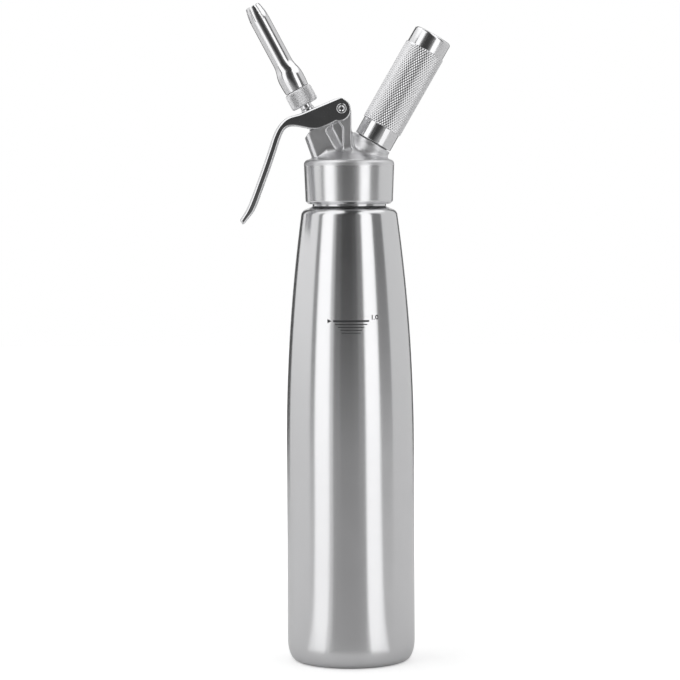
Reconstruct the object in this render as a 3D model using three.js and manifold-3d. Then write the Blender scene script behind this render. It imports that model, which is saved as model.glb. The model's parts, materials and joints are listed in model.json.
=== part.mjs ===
// Whipped cream dispenser: a steel bottle with a screw-on head that carries the
// lever valve, the decorating nozzle and the gas charger holder.
// Millimetres, +Z up. The origin is the centre of the bottle's flat base. The
// nozzle and the lever point to -X, and the charger holder to +X.

import * as THREE from 'three';
import { mergeVertices } from 'three/addons/utils/BufferGeometryUtils.js';
import Module from 'manifold-3d';

const wasm = await Module();
wasm.setup();

// Driving dimensions: bottle
const bottleDiameter = 80;
const bottleShoulderHeight = 282.9;
const bottleWall = 1;
const baseThickness = 2;
const baseCornerWidth = 5.5;
const baseCornerHeight = 12.5;
const baseGrooveRadius = 27.5;
const baseGrooveWidth = 6;
const baseGrooveDepth = 0.8;
const taperStartHeight = 133;
const taperEndHeight = 278.5;
const taperDepth = 9.8;
const shoulderRadius = 5;
const neckDiameter = 45.2;
const neckHeight = 14.3;

// Driving dimensions: bottle thread and collar
const neckPitch = 3;
const neckThreadDepth = 1.2;
const neckThreadBase = 1.4;
const neckThreadCrest = 0.6;
const neckThreadTurns = 2.25;
const screwClearance = 0.3;
const seatClearance = 0.3;
const collarGap = 3.4;
const collarWall = 3.15;
const collarFlare = 1;
const collarHeight = 23.5;
const collarRoundRadius = 3.2;
const domeHeight = 9.8;
const domeShoulderDrop = 4.4;
const collarMouthChamfer = 1.4;
const gasketThickness = 1.8;
const gasketWidth = 4;
const cavityHeight = 7.4;
const cavityTopRadius = 15;

// Driving dimensions: valve, along the nozzle's axis from its origin
const nozzleTilt = THREE.MathUtils.degToRad(28);
const nozzleOriginHeight = 10.8;
const stemRadius = 3.5;
const stemBore = 2.1;
const guideClearance = 0.3;
const valveChamberClearance = 0.6;
const valveSeatHeight = 14;
const valveSealThickness = 2.2;
const valveSealWidth = 1.4;
const sealNutHeight = 2.2;
const sealNutInset = 0.3;
const sealNutThread = 2.7;
const sideHoleRadius = 1.3;
const sideHoleHeight = 2.4;
const valveBoreFloor = 20;
const guideBushHeight = 9.6;
const stemRingThickness = 1.6;
const stemRingRecess = 2;
const springWire = 0.9;
const springStemGap = 0.95;
const springBoreGap = 0.85;
const springTurns = 5.5;
const valveBlockHeight = 41.8;
const valveBlockHalfWidth = 10;
const valveBlockLeft = 8.9;
const valveBlockFlare = 3.8;
const valveBlockRight = 8;
const valveBlockChamfer = 4.6;
const valveBlockEdge = 1.2;
const valveBlockTopCut = 2.4;

// Driving dimensions: crowned shoulder and threaded end of the valve stem
const crownRadius = 7;
const shoulderCollarRadius = 5.7;
const shoulderCollarHeight = 2.4;
const shankRadius = 4.2;
const stemThreadCore = 3.7;
const stemThreadDepth = 0.7;
const stemPitch = 2;
const stemThreadTurns = 2.75;
const stemThreadBase = 0.9;
const stemThreadCrest = 0.4;

// Driving dimensions: adapter ring and decorating nozzle
const ringStandoff = 3.8;
const ringRadius = 8.7;
const ringHeight = 10.4;
const ringEdge = 0.9;
const ringThreadHeight = 7.1;
const ringRecessRadius = 7.3;
const nozzleSealThickness = 0.9;
const nozzleWall = 0.9;
const bulbBaseRadius = 7.7;
const bulbRadius = 8.1;
const bulbLength = 12.2;
const bulbTaper = 5.6;
const nozzleTubeRadius = 6.15;
const nozzleTubeLength = 30.5;
const mouthTaper = 10.4;
const mouthRadius = 4.5;
const mouthSlits = 8;
const mouthSlitWidth = 1.1;
const mouthSlitLength = 10.2;

// Driving dimensions: charger port, piercing valve and holder, along the port's axis
const portTilt = THREE.MathUtils.degToRad(30);
const portOriginHeight = 12.8;
const portRadius = 12.4;
const portRimHeight = 29.2;
const portEdge = 1.2;
const portWaistRadius = 11.9;
const portWaistHeight = 24;
const stubRadius = 9.7;
const stubHeight = 9;
const stubBoreRadius = 7.4;
const stubThreadDepth = 0.8;
const holderPitch = 2.5;
const stubThreadTurns = 2.5;
const stubThreadBase = 1.2;
const stubThreadCrest = 0.5;
const gasChamberRadius = 5.2;
const gasChamberHeight = 15;
const piercerFloor = 26.6;
const piercerFlangeHeight = 3.2;
const piercerShankRadius = 3;
const piercerGasketThickness = 1;
const needleRadius = 1.1;
const sleeveWall = 1;
const sleeveHeight = 8;
const chargerSealThickness = 1.8;
const chargerRadius = 9;
const chargerLength = 65;
const chargerNeckRadius = 4.4;
const chargerNeckLength = 8;
const chargerConeLength = 10;
const holderHeadroom = 7;
const holderEndRadius = 12.35;
const holderKnurlRadius = 13.1;
const holderFootBand = 11;
const holderTopBand = 10.8;
const holderEdge = 1;
const chargerClearance = 0.9;
const holderTopWall = 2.4;

// Driving dimensions: lever, pivot tower and pin
const pivotOffset = 4.5;
const pivotHeight = 59;
const leverSheet = 1.5;
const leverEdgeRadius = 7.3;
const leverArcOffset = 1.7;
const leverSlope = THREE.MathUtils.degToRad(22.6);
const leverSideGap = 0.45;
const leverBend = 1;
const leverReach = 63.2;
const leverDrop = 71.6;
const leverSlotClearance = 0.5;
const leverSlotReach = 2.6;
const pinRadius = 2.2;
const pinClearance = 0.2;
const pinHeadRadius = 3.1;
const pinHeadHeight = 1.1;
const pinRecessRadius = 1.2;
const pinRecessDepth = 0.5;
const clipThickness = 0.8;
const clipRadius = 3.8;
const clipGrooveDepth = 0.6;
const towerRight = 6.2;
const towerCrown = 1.2;
const webHalfWidth = 5.8;

const bottleSegments = 48;
const headSegments = 40;
const roundSegments = 28;
const smallSegments = 20;
const threadSegments = 16;
const tinySegments = 12;
const overrun = 2;

// Worked out: the bottle's mouth, where the collar sits, and the threads
const bottleRadius = bottleDiameter / 2;
const neckRadius = neckDiameter / 2;
const neckTop = bottleShoulderHeight + neckHeight;
const headHeight = bottleShoulderHeight + collarGap;
const collarBore = neckRadius + neckThreadDepth + screwClearance;
const collarRadius = collarBore + collarWall;
const gasketBottom = neckTop + seatClearance - headHeight;
const gasketCeiling = gasketBottom + gasketThickness + seatClearance;
const cavityRadius = collarBore - seatClearance - gasketWidth;
const domeTop = collarHeight + domeHeight;

// Worked out: the stack on the valve stem, from the stem outwards
const valveSealRadius = stemRadius + valveSealWidth;
const valveChamberRadius = valveSealRadius + valveChamberClearance;
const sealNutRadius = valveSealRadius - sealNutInset;
const springRadius = stemRadius + springStemGap + springWire / 2;
const valveBoreRadius = springRadius + springWire / 2 + springBoreGap;

// Worked out: the stack in the port, from the piercing valve's seat up to the holder's end
const piercerBottom = piercerFloor + seatClearance + piercerGasketThickness + seatClearance;
const piercerTop = piercerBottom + piercerFlangeHeight;
const chargerSealBottom = piercerTop + seatClearance;
const chargerBottom = chargerSealBottom + chargerSealThickness + seatClearance;
const holderTop = chargerBottom + chargerLength + holderHeadroom;
const holderCavityRadius = chargerRadius + chargerClearance;

// Worked out: where the lever's plate crosses the nozzle's axis
const pivotX = -pivotOffset;
const plateInner = leverEdgeRadius - leverSheet;
const slotHalfWidth = shankRadius + leverSlotClearance;
const crownDrop = Math.sqrt(crownRadius ** 2 - slotHalfWidth ** 2);
const crownHeight = axisHeight(leverSlope, plateInner - crownDrop) - seatClearance;
const plateHeight = axisHeight(leverSlope, leverEdgeRadius);
const shoulderTop = crownHeight + Math.sqrt(crownRadius ** 2 - shoulderCollarRadius ** 2);
const shoulderBottom = shoulderTop - shoulderCollarHeight;
const shankTop = crownHeight + Math.sqrt(crownRadius ** 2 - shankRadius ** 2);
const ringBottom = plateHeight + ringStandoff;
const stemThreadStart = ringBottom;
const stemTop = ringBottom + ringThreadHeight;

// The threads that stand out of a wall; each ends a ridge's width short of the wall's end
const neckThread = {
  wall: neckRadius, depth: neckThreadDepth, pitch: neckPitch, turns: neckThreadTurns,
  start: neckTop - headHeight - neckThreadTurns * neckPitch - neckThreadBase,
  base: neckThreadBase, crest: neckThreadCrest, segments: roundSegments,
};
const stemThread = {
  wall: stemThreadCore, depth: stemThreadDepth, pitch: stemPitch, turns: stemThreadTurns,
  start: stemTop - stemThreadTurns * stemPitch - stemThreadBase,
  base: stemThreadBase, crest: stemThreadCrest, segments: threadSegments,
};
const stubThread = {
  wall: stubRadius, depth: stubThreadDepth, pitch: holderPitch, turns: stubThreadTurns,
  start: portRimHeight + stubHeight - stubThreadTurns * holderPitch - stubThreadBase,
  base: stubThreadBase, crest: stubThreadCrest, segments: roundSegments,
};

// The thread in the bore that screws onto one of these, half a pitch along from it
function matingThread(thread) {
  return {
    ...thread, wall: thread.wall + thread.depth + screwClearance, depth: -thread.depth,
    turns: thread.turns - 1 / 2, start: thread.start + thread.pitch / 2,
  };
}

const steel = { colour: 0xb9bbbd, roughness: 0.3, metalness: 1 };
const polishedSteel = { colour: 0xc8cacc, roughness: 0.12, metalness: 1 };
const mattSteel = { colour: 0xc4c5c6, roughness: 0.5, metalness: 1 };
const springSteel = { colour: 0xa9abad, roughness: 0.3, metalness: 1 };
const brass = { colour: 0xb99a55, roughness: 0.35, metalness: 1 };
const redRubber = { colour: 0xa43a2e, roughness: 0.7, metalness: 0 };
const blackRubber = { colour: 0x242424, roughness: 0.75, metalness: 0 };
const greyRubber = { colour: 0x6e7072, roughness: 0.7, metalness: 0 };
const chargerSteel = { colour: 0x9a9da0, roughness: 0.38, metalness: 1 };

// Distance along the nozzle's axis of a line at the given slope, which passes the
// pivot at the given distance above it
function axisHeight(slope, distance) {
  const pivotRise = pivotHeight - nozzleOriginHeight;
  const rise = distance + pivotOffset * Math.sin(slope) + pivotRise * Math.cos(slope);
  return rise / Math.cos(slope - nozzleTilt);
}

// A closed mesh as a solid for joining and cutting
function solidOf(geometry) {
  const plain = geometry.clone();
  plain.deleteAttribute('normal');
  plain.deleteAttribute('uv');
  const merged = mergeVertices(plain);
  const kept = [];
  for (let i = 0; i < merged.index.count; i += 3) {
    const a = merged.index.getX(i);
    const b = merged.index.getX(i + 1);
    const c = merged.index.getX(i + 2);
    if (a !== b && b !== c && c !== a) kept.push(a, b, c);
  }
  const vertProperties = new Float32Array(merged.attributes.position.array);
  const triVerts = new Uint32Array(kept);
  return new wasm.Manifold(new wasm.Mesh({ numProp: 3, vertProperties, triVerts }));
}

// A solid back as a geometry
function geometryOf(solid) {
  const mesh = solid.getMesh();
  const geometry = new THREE.BufferGeometry();
  geometry.setAttribute('position', new THREE.BufferAttribute(mesh.vertProperties, 3));
  geometry.setIndex(new THREE.BufferAttribute(mesh.triVerts, 1));
  geometry.computeVertexNormals();
  return geometry;
}

// A profile of [radius, height] pairs, anticlockwise, turned about +Z
function turned(profile, segments) {
  const points = profile.map(([r, z]) => new THREE.Vector2(r, z));
  points.push(points[0].clone());
  return new THREE.LatheGeometry(points, segments).rotateX(Math.PI / 2);
}

function disc(radius, bottom, top, segments = roundSegments) {
  return turned([[0, bottom], [radius, bottom], [radius, top], [0, top]], segments);
}

function washer(inner, outer, bottom, top, segments = roundSegments) {
  return turned([[inner, bottom], [outer, bottom], [outer, top], [inner, top]], segments);
}

// Points on a round corner from one angle to another, in the profile's plane
function corner(r, z, radius, from, to, steps) {
  const points = [];
  for (let i = 0; i <= steps; i += 1) {
    const angle = from + (to - from) * i / steps;
    points.push([r + radius * Math.cos(angle), z + radius * Math.sin(angle)]);
  }
  return points;
}

// A helical ridge of trapezoid section that stands out of a wall, or into a bore
// when depth is negative; its ends fade over a share of a turn
function ridge({ wall, depth, pitch, turns, start, base, crest, segments }) {
  const fadeShare = 0.125;
  const steps = Math.round(turns * segments);
  const inward = depth < 0;
  const buried = screwClearance * Math.sign(depth);
  const positions = [];
  for (let i = 0; i <= steps; i += 1) {
    const turn = turns * i / steps;
    const fade = Math.min(1, turn / fadeShare, (turns - turn) / fadeShare);
    const angle = 2 * Math.PI * turn;
    const z = start + pitch * turn;
    const tip = wall + depth * fade;
    const root = wall - buried;
    const halves = inward
      ? [[root, -base / 2], [root, base / 2], [tip, crest / 2], [tip, -crest / 2]]
      : [[root, -base / 2], [tip, -crest / 2], [tip, crest / 2], [root, base / 2]];
    for (const [r, dz] of halves) {
      positions.push(r * Math.cos(angle), r * Math.sin(angle), z + dz);
    }
  }
  const index = [0, 1, 2, 0, 2, 3];
  for (let i = 0; i < steps; i += 1) {
    for (let j = 0; j < 4; j += 1) {
      const a = 4 * i + j;
      const b = 4 * i + (j + 1) % 4;
      index.push(b, a, a + 4, b, a + 4, b + 4);
    }
  }
  const last = 4 * steps;
  index.push(last, last + 2, last + 1, last, last + 3, last + 2);
  const geometry = new THREE.BufferGeometry();
  geometry.setAttribute('position', new THREE.Float32BufferAttribute(positions, 3));
  geometry.setIndex(index);
  return geometry;
}

// An outline of [x, z] pairs as a plate that is centred on Y, with chamfered edges
function plate(outline, halfWidth, edge = 0) {
  const shape = new THREE.Shape(outline.map(([x, z]) => new THREE.Vector2(x, z)));
  const depth = 2 * (halfWidth - edge);
  const geometry = new THREE.ExtrudeGeometry(shape, {
    depth, bevelEnabled: edge > 0, bevelThickness: edge, bevelSize: edge, bevelOffset: -edge,
    bevelSegments: 1,
  });
  return geometry.translate(0, 0, -depth / 2).rotateX(Math.PI / 2);
}

const alongNozzle = (geometry) => geometry.rotateY(-nozzleTilt).translate(0, 0, nozzleOriginHeight);
const alongPort = (geometry) => geometry.rotateY(portTilt).translate(0, 0, portOriginHeight);

// A point beside the nozzle's axis, as [x, z] in the head's frame
function besideNozzle(side, along) {
  return [
    side * Math.cos(nozzleTilt) - along * Math.sin(nozzleTilt),
    nozzleOriginHeight + side * Math.sin(nozzleTilt) + along * Math.cos(nozzleTilt),
  ];
}

function bottleGeometry() {
  const taperSteps = 6;
  const inTaperSteps = 3;
  const taper = (share) => bottleRadius - taperDepth * share ** 2;
  const taperHeight = (share) => taperStartHeight + (taperEndHeight - taperStartHeight) * share;
  const footRadius = bottleRadius - baseCornerWidth;
  const outer = [
    [0, 0],
    [baseGrooveRadius - baseGrooveWidth / 2, 0],
    [baseGrooveRadius - baseGrooveWidth / 2 + baseGrooveDepth, baseGrooveDepth],
    [baseGrooveRadius + baseGrooveWidth / 2 - baseGrooveDepth, baseGrooveDepth],
    [baseGrooveRadius + baseGrooveWidth / 2, 0],
  ];
  const cornerSteps = 4;
  for (let i = 0; i <= cornerSteps; i += 1) {
    const angle = Math.PI / 2 * i / cornerSteps;
    outer.push([
      footRadius + baseCornerWidth * Math.sin(angle),
      baseCornerHeight * (1 - Math.cos(angle)),
    ]);
  }
  for (let i = 0; i <= taperSteps; i += 1) outer.push([taper(i / taperSteps), taperHeight(i / taperSteps)]);
  const shoulderCentre = taper(1) - shoulderRadius;
  const shoulderSteps = 3;
  outer.push(...corner(shoulderCentre, bottleShoulderHeight - shoulderRadius, shoulderRadius,
    Math.PI / 8, Math.PI / 2, shoulderSteps));
  outer.push([neckRadius, bottleShoulderHeight], [neckRadius, neckTop]);
  const inner = [
    [neckRadius - bottleWall, neckTop],
    [neckRadius - bottleWall, bottleShoulderHeight - bottleWall],
    [shoulderCentre, bottleShoulderHeight - bottleWall],
  ];
  for (let i = inTaperSteps; i >= 0; i -= 1) {
    inner.push([taper(i / inTaperSteps) - bottleWall, taperHeight(i / inTaperSteps) - bottleWall]);
  }
  const inCornerSteps = 3;
  for (let i = inCornerSteps; i >= 0; i -= 1) {
    const angle = Math.PI / 2 * i / inCornerSteps;
    inner.push([
      footRadius + (baseCornerWidth - bottleWall) * Math.sin(angle),
      baseThickness + (baseCornerHeight - baseThickness) * (1 - Math.cos(angle)),
    ]);
  }
  inner.push([0, baseThickness]);
  const thread = ridge({ ...neckThread, start: neckThread.start + headHeight });
  return geometryOf(solidOf(turned([...outer, ...inner], bottleSegments)).add(solidOf(thread)));
}

// The head's outside without its bores: collar, dome, valve block, tower, web and port
function headOutside() {
  const flareRadius = collarRadius + collarFlare;
  const collar = turned([
    [0, 0],
    [collarRadius - collarMouthChamfer / 2, 0],
    [collarRadius, collarMouthChamfer / 2],
    ...corner(flareRadius - collarRoundRadius, collarHeight, collarRoundRadius, 0, Math.PI / 3, 3),
    [flareRadius - collarRoundRadius, collarHeight + domeHeight - domeShoulderDrop - collarFlare],
    [portWaistRadius, domeTop - collarFlare],
    [0, domeTop],
  ], headSegments);
  const blockTop = valveBlockHeight;
  const sideTop = blockTop - valveBlockTopCut;
  const blockRoot = nozzleOriginHeight;
  const sideRun = sideTop - blockRoot;
  const flareShare = valveBlockFlare / (sideTop - valveSeatHeight);
  const block = plate([
    besideNozzle(-valveBlockLeft - flareShare * sideRun, blockRoot),
    besideNozzle(valveBlockRight, blockRoot),
    besideNozzle(valveBlockRight, blockTop),
    besideNozzle(-valveBlockLeft / 2, blockTop),
    besideNozzle(-valveBlockLeft, sideTop),
  ].reverse(), valveBlockHalfWidth, valveBlockEdge);
  const reach = 2 * valveBlockLeft + valveBlockFlare;
  const section = new THREE.Shape([
    new THREE.Vector2(-reach, -valveBlockHalfWidth - overrun),
    new THREE.Vector2(valveBlockRight - valveBlockChamfer, -valveBlockHalfWidth - overrun),
    new THREE.Vector2(valveBlockRight - valveBlockChamfer, -valveBlockHalfWidth),
    new THREE.Vector2(valveBlockRight, -webHalfWidth),
    new THREE.Vector2(valveBlockRight, webHalfWidth),
    new THREE.Vector2(valveBlockRight - valveBlockChamfer, valveBlockHalfWidth),
    new THREE.Vector2(valveBlockRight - valveBlockChamfer, valveBlockHalfWidth + overrun),
    new THREE.Vector2(-reach, valveBlockHalfWidth + overrun),
  ]);
  const trim = new THREE.ExtrudeGeometry(section, { depth: blockTop + overrun, bevelEnabled: false });
  const valveBlock = solidOf(block).intersect(solidOf(alongNozzle(trim)));
  const crown = plateInner - towerCrown;
  const right = pivotX + towerRight;
  const towerEdge = collarHeight;
  const towerSteps = 6;
  const arc = corner(pivotX, pivotHeight, crown, Math.PI / 8, Math.PI, towerSteps);
  const tower = plate([
    [right, towerEdge],
    [right, pivotHeight - towerCrown],
    ...arc,
    [pivotX - crown / 2, pivotHeight - plateInner - towerCrown],
    [pivotX + towerCrown, pivotHeight - 2 * plateInner],
    [pivotX + towerCrown, towerEdge],
  ], valveBlockHalfWidth, valveBlockEdge);
  const webTop = besideNozzle(valveBlockRight / 2, blockTop);
  const web = plate([
    besideNozzle(0, blockRoot),
    [right, nozzleOriginHeight],
    [right, pivotHeight - plateInner],
    [pivotX - crown, pivotHeight - towerCrown],
    webTop,
  ], webHalfWidth);
  const port = alongPort(turned([
    [0, 0],
    [portWaistRadius, 0],
    [portWaistRadius, portWaistHeight],
    [portRadius, portRimHeight - 2 * portEdge],
    [portRadius, portRimHeight - portEdge / 2],
    [portRadius - portEdge / 2, portRimHeight],
    [stubRadius, portRimHeight],
    [stubRadius, portRimHeight + stubHeight],
    [0, portRimHeight + stubHeight],
  ], roundSegments));
  return solidOf(collar).add(valveBlock).add(solidOf(tower)).add(solidOf(web)).add(solidOf(port));
}

// What is cut out of the head: collar bore, cavity, valve bores, gas bores, pin hole
function headBores() {
  const bore = turned([
    [0, -overrun],
    [collarBore + collarMouthChamfer + overrun, -overrun],
    [collarBore, collarMouthChamfer],
    [collarBore, gasketCeiling],
    [cavityRadius, gasketCeiling],
    [cavityTopRadius, gasketCeiling + cavityHeight],
    [0, gasketCeiling + cavityHeight],
  ], headSegments);
  const guideRadius = stemRadius + guideClearance;
  const valve = alongNozzle(turned([
    [0, 0],
    [valveChamberRadius, 0],
    [valveChamberRadius, valveSeatHeight],
    [guideRadius, valveSeatHeight],
    [guideRadius, valveBoreFloor],
    [valveBoreRadius, valveBoreFloor],
    [valveBoreRadius, valveBlockHeight + overrun],
    [0, valveBlockHeight + overrun],
  ], smallSegments));
  const gas = alongPort(turned([
    [0, 0],
    [gasChamberRadius, 0],
    [gasChamberRadius, gasChamberHeight],
    [piercerShankRadius + seatClearance, gasChamberHeight],
    [piercerShankRadius + seatClearance, piercerFloor],
    [stubBoreRadius, piercerFloor],
    [stubBoreRadius, portRimHeight + stubHeight + overrun],
    [0, portRimHeight + stubHeight + overrun],
  ], smallSegments));
  const holeLength = 2 * (valveBlockHalfWidth + overrun);
  const pinHole = disc(pinRadius + pinClearance, -holeLength / 2, holeLength / 2, smallSegments)
    .rotateX(Math.PI / 2)
    .translate(pivotX, 0, pivotHeight);
  return solidOf(bore).add(solidOf(valve)).add(solidOf(gas)).add(solidOf(pinHole));
}

function headGeometry() {
  const inThread = ridge(matingThread(neckThread));
  const onStub = alongPort(ridge(stubThread));
  return geometryOf(headOutside().subtract(headBores()).add(solidOf(inThread)).add(solidOf(onStub)));
}

// The hollow valve stem, from its seal end to its threaded end
function stemGeometry() {
  const sealTop = valveSeatHeight - seatClearance;
  const sealBottom = sealTop - valveSealThickness;
  const spigotBottom = sealBottom - seatClearance - sealNutHeight;
  const boreBottom = valveSeatHeight + sideHoleHeight - sideHoleRadius;
  const crownSteps = 3;
  const from = Math.acos(shoulderCollarRadius / crownRadius);
  const to = Math.acos(shankRadius / crownRadius);
  const body = turned([
    [0, spigotBottom],
    [sealNutThread, spigotBottom],
    [sealNutThread, sealTop],
    [stemRadius, sealTop],
    [stemRadius, shoulderBottom],
    [shoulderCollarRadius, shoulderBottom],
    ...corner(0, crownHeight, crownRadius, from, to, crownSteps),
    [shankRadius, (shankTop + stemThreadStart) / 2],
    [stemThreadCore, stemThreadStart],
    [stemThreadCore, stemTop],
    [stemBore, stemTop],
    [stemBore, boreBottom],
    [0, boreBottom],
  ], smallSegments);
  const thread = ridge(stemThread);
  const holeLength = stemRadius + overrun;
  const hole = disc(sideHoleRadius, -holeLength, holeLength, tinySegments)
    .rotateX(Math.PI / 2)
    .translate(0, 0, valveSeatHeight + sideHoleHeight);
  return geometryOf(solidOf(body).add(solidOf(thread)).subtract(solidOf(hole)));
}

// The spring is one unbroken tube: a helix with its ends in the plane of a turn
function springGeometry() {
  const stepsPerTurn = 8;
  const sides = 5;
  const bottom = valveBoreFloor + seatClearance + guideBushHeight + seatClearance + springWire / 2;
  const top = shoulderBottom - seatClearance - springWire / 2;
  const steps = Math.round(springTurns * stepsPerTurn);
  const positions = [];
  for (let i = 0; i <= steps; i += 1) {
    const share = i / steps;
    const angle = 2 * Math.PI * springTurns * share;
    const z = bottom + (top - bottom) * share;
    for (let j = 0; j < sides; j += 1) {
      const around = 2 * Math.PI * j / sides;
      const r = springRadius + springWire / 2 * Math.cos(around);
      positions.push(r * Math.cos(angle), r * Math.sin(angle), z + springWire / 2 * Math.sin(around));
    }
  }
  const index = [];
  for (let j = 1; j < sides - 1; j += 1) index.push(0, j, j + 1);
  for (let i = 0; i < steps; i += 1) {
    for (let j = 0; j < sides; j += 1) {
      const a = sides * i + j;
      const b = sides * i + (j + 1) % sides;
      index.push(b, a, a + sides, b, a + sides, b + sides);
    }
  }
  const last = sides * steps;
  for (let j = 1; j < sides - 1; j += 1) index.push(last, last + j + 1, last + j);
  const turnGap = (top - bottom) / springTurns - springWire;
  console.log('spring: gap between turns', turnGap.toFixed(2), 'mm');
  const geometry = new THREE.BufferGeometry();
  geometry.setAttribute('position', new THREE.Float32BufferAttribute(positions, 3));
  geometry.setIndex(index);
  return geometryOf(solidOf(geometry));
}

function ringGeometry() {
  const top = ringBottom + ringHeight;
  const thread = matingThread(stemThread);
  const bore = thread.wall;
  const recessFloor = stemTop + seatClearance / 2;
  const body = turned([
    [bore, ringBottom],
    [ringRadius - ringEdge, ringBottom],
    [ringRadius, ringBottom + ringEdge],
    [ringRadius, top - ringEdge],
    [ringRadius - ringEdge, top],
    [ringRecessRadius, top],
    [ringRecessRadius, recessFloor],
    [bore, recessFloor],
  ], roundSegments);
  return geometryOf(solidOf(body).add(solidOf(ridge(thread))));
}

function nozzleGeometry() {
  const flangeBottom = stemTop + seatClearance + nozzleSealThickness + seatClearance;
  const bulbBottom = ringBottom + ringHeight + seatClearance;
  const bulbTop = bulbBottom + bulbLength;
  const tubeBottom = bulbTop + bulbTaper;
  const tubeTop = tubeBottom + nozzleTubeLength;
  const mouthTop = tubeTop + mouthTaper;
  const flangeRadius = ringRecessRadius - seatClearance;
  const taperRadius = (bulbRadius + nozzleTubeRadius) / 2;
  const shares = [0.3, 0.6, 0.8, 1];
  const mouthPoint = (share) => [
    nozzleTubeRadius - (nozzleTubeRadius - mouthRadius) * share ** 2,
    tubeTop + mouthTaper * share,
  ];
  const mouth = shares.map(mouthPoint);
  const outer = [
    [stemBore, flangeBottom],
    [flangeRadius, flangeBottom],
    [flangeRadius, bulbBottom],
    [bulbBaseRadius, bulbBottom],
    [bulbRadius, bulbBottom + bulbLength / 2],
    [bulbRadius - nozzleWall / 8, bulbTop - nozzleWall],
    [taperRadius, bulbTop + bulbTaper / 2],
    [nozzleTubeRadius, tubeBottom],
    [nozzleTubeRadius, tubeTop],
  ];
  const inner = [
    [nozzleTubeRadius - nozzleWall, tubeTop],
    [nozzleTubeRadius - nozzleWall, tubeBottom],
    [taperRadius - nozzleWall, bulbTop + bulbTaper / 2],
    [bulbRadius - nozzleWall, bulbTop - nozzleWall],
    [bulbRadius - nozzleWall, bulbBottom + bulbLength / 2],
    [stemBore, bulbBottom],
  ];
  const inMouth = shares.map(mouthPoint).reverse().map(([r, z]) => [r - nozzleWall, z]);
  let body = solidOf(turned([...outer, ...mouth, ...inMouth, ...inner], roundSegments));
  for (let i = 0; i < mouthSlits / 2; i += 1) {
    const slit = new THREE.BoxGeometry(2 * bulbRadius + overrun, mouthSlitWidth, mouthSlitLength + overrun)
      .translate(0, 0, mouthTop - mouthSlitLength / 2 + overrun / 2)
      .rotateZ(2 * Math.PI * (i + 0.5) / mouthSlits);
    body = body.subtract(solidOf(slit));
  }
  return geometryOf(body);
}

// The lever's outer edge, from over the pivot to the handle's tip, in the head's frame
function leverOuterCurve() {
  const along = (distance) => [
    pivotX - leverEdgeRadius * Math.sin(leverSlope) - distance * Math.cos(leverSlope),
    pivotHeight + leverEdgeRadius * Math.cos(leverSlope) - distance * Math.sin(leverSlope),
  ];
  const straightShares = [0.06, 0.12, 0.185];
  const handleShares = [
    [0.535, 0.075], [0.622, 0.146], [0.676, 0.235], [0.718, 0.345], [0.775, 0.49],
    [0.838, 0.642], [0.893, 0.77], [0.942, 0.87], [1.005, 0.958],
  ];
  const points = straightShares.map((share) => along(share * (leverReach + leverDrop)));
  for (const [x, z] of handleShares) points.push([pivotX - leverReach * x, pivotHeight - leverDrop * z]);
  return new THREE.SplineCurve(points.map(([x, z]) => new THREE.Vector2(x, z)));
}

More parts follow.
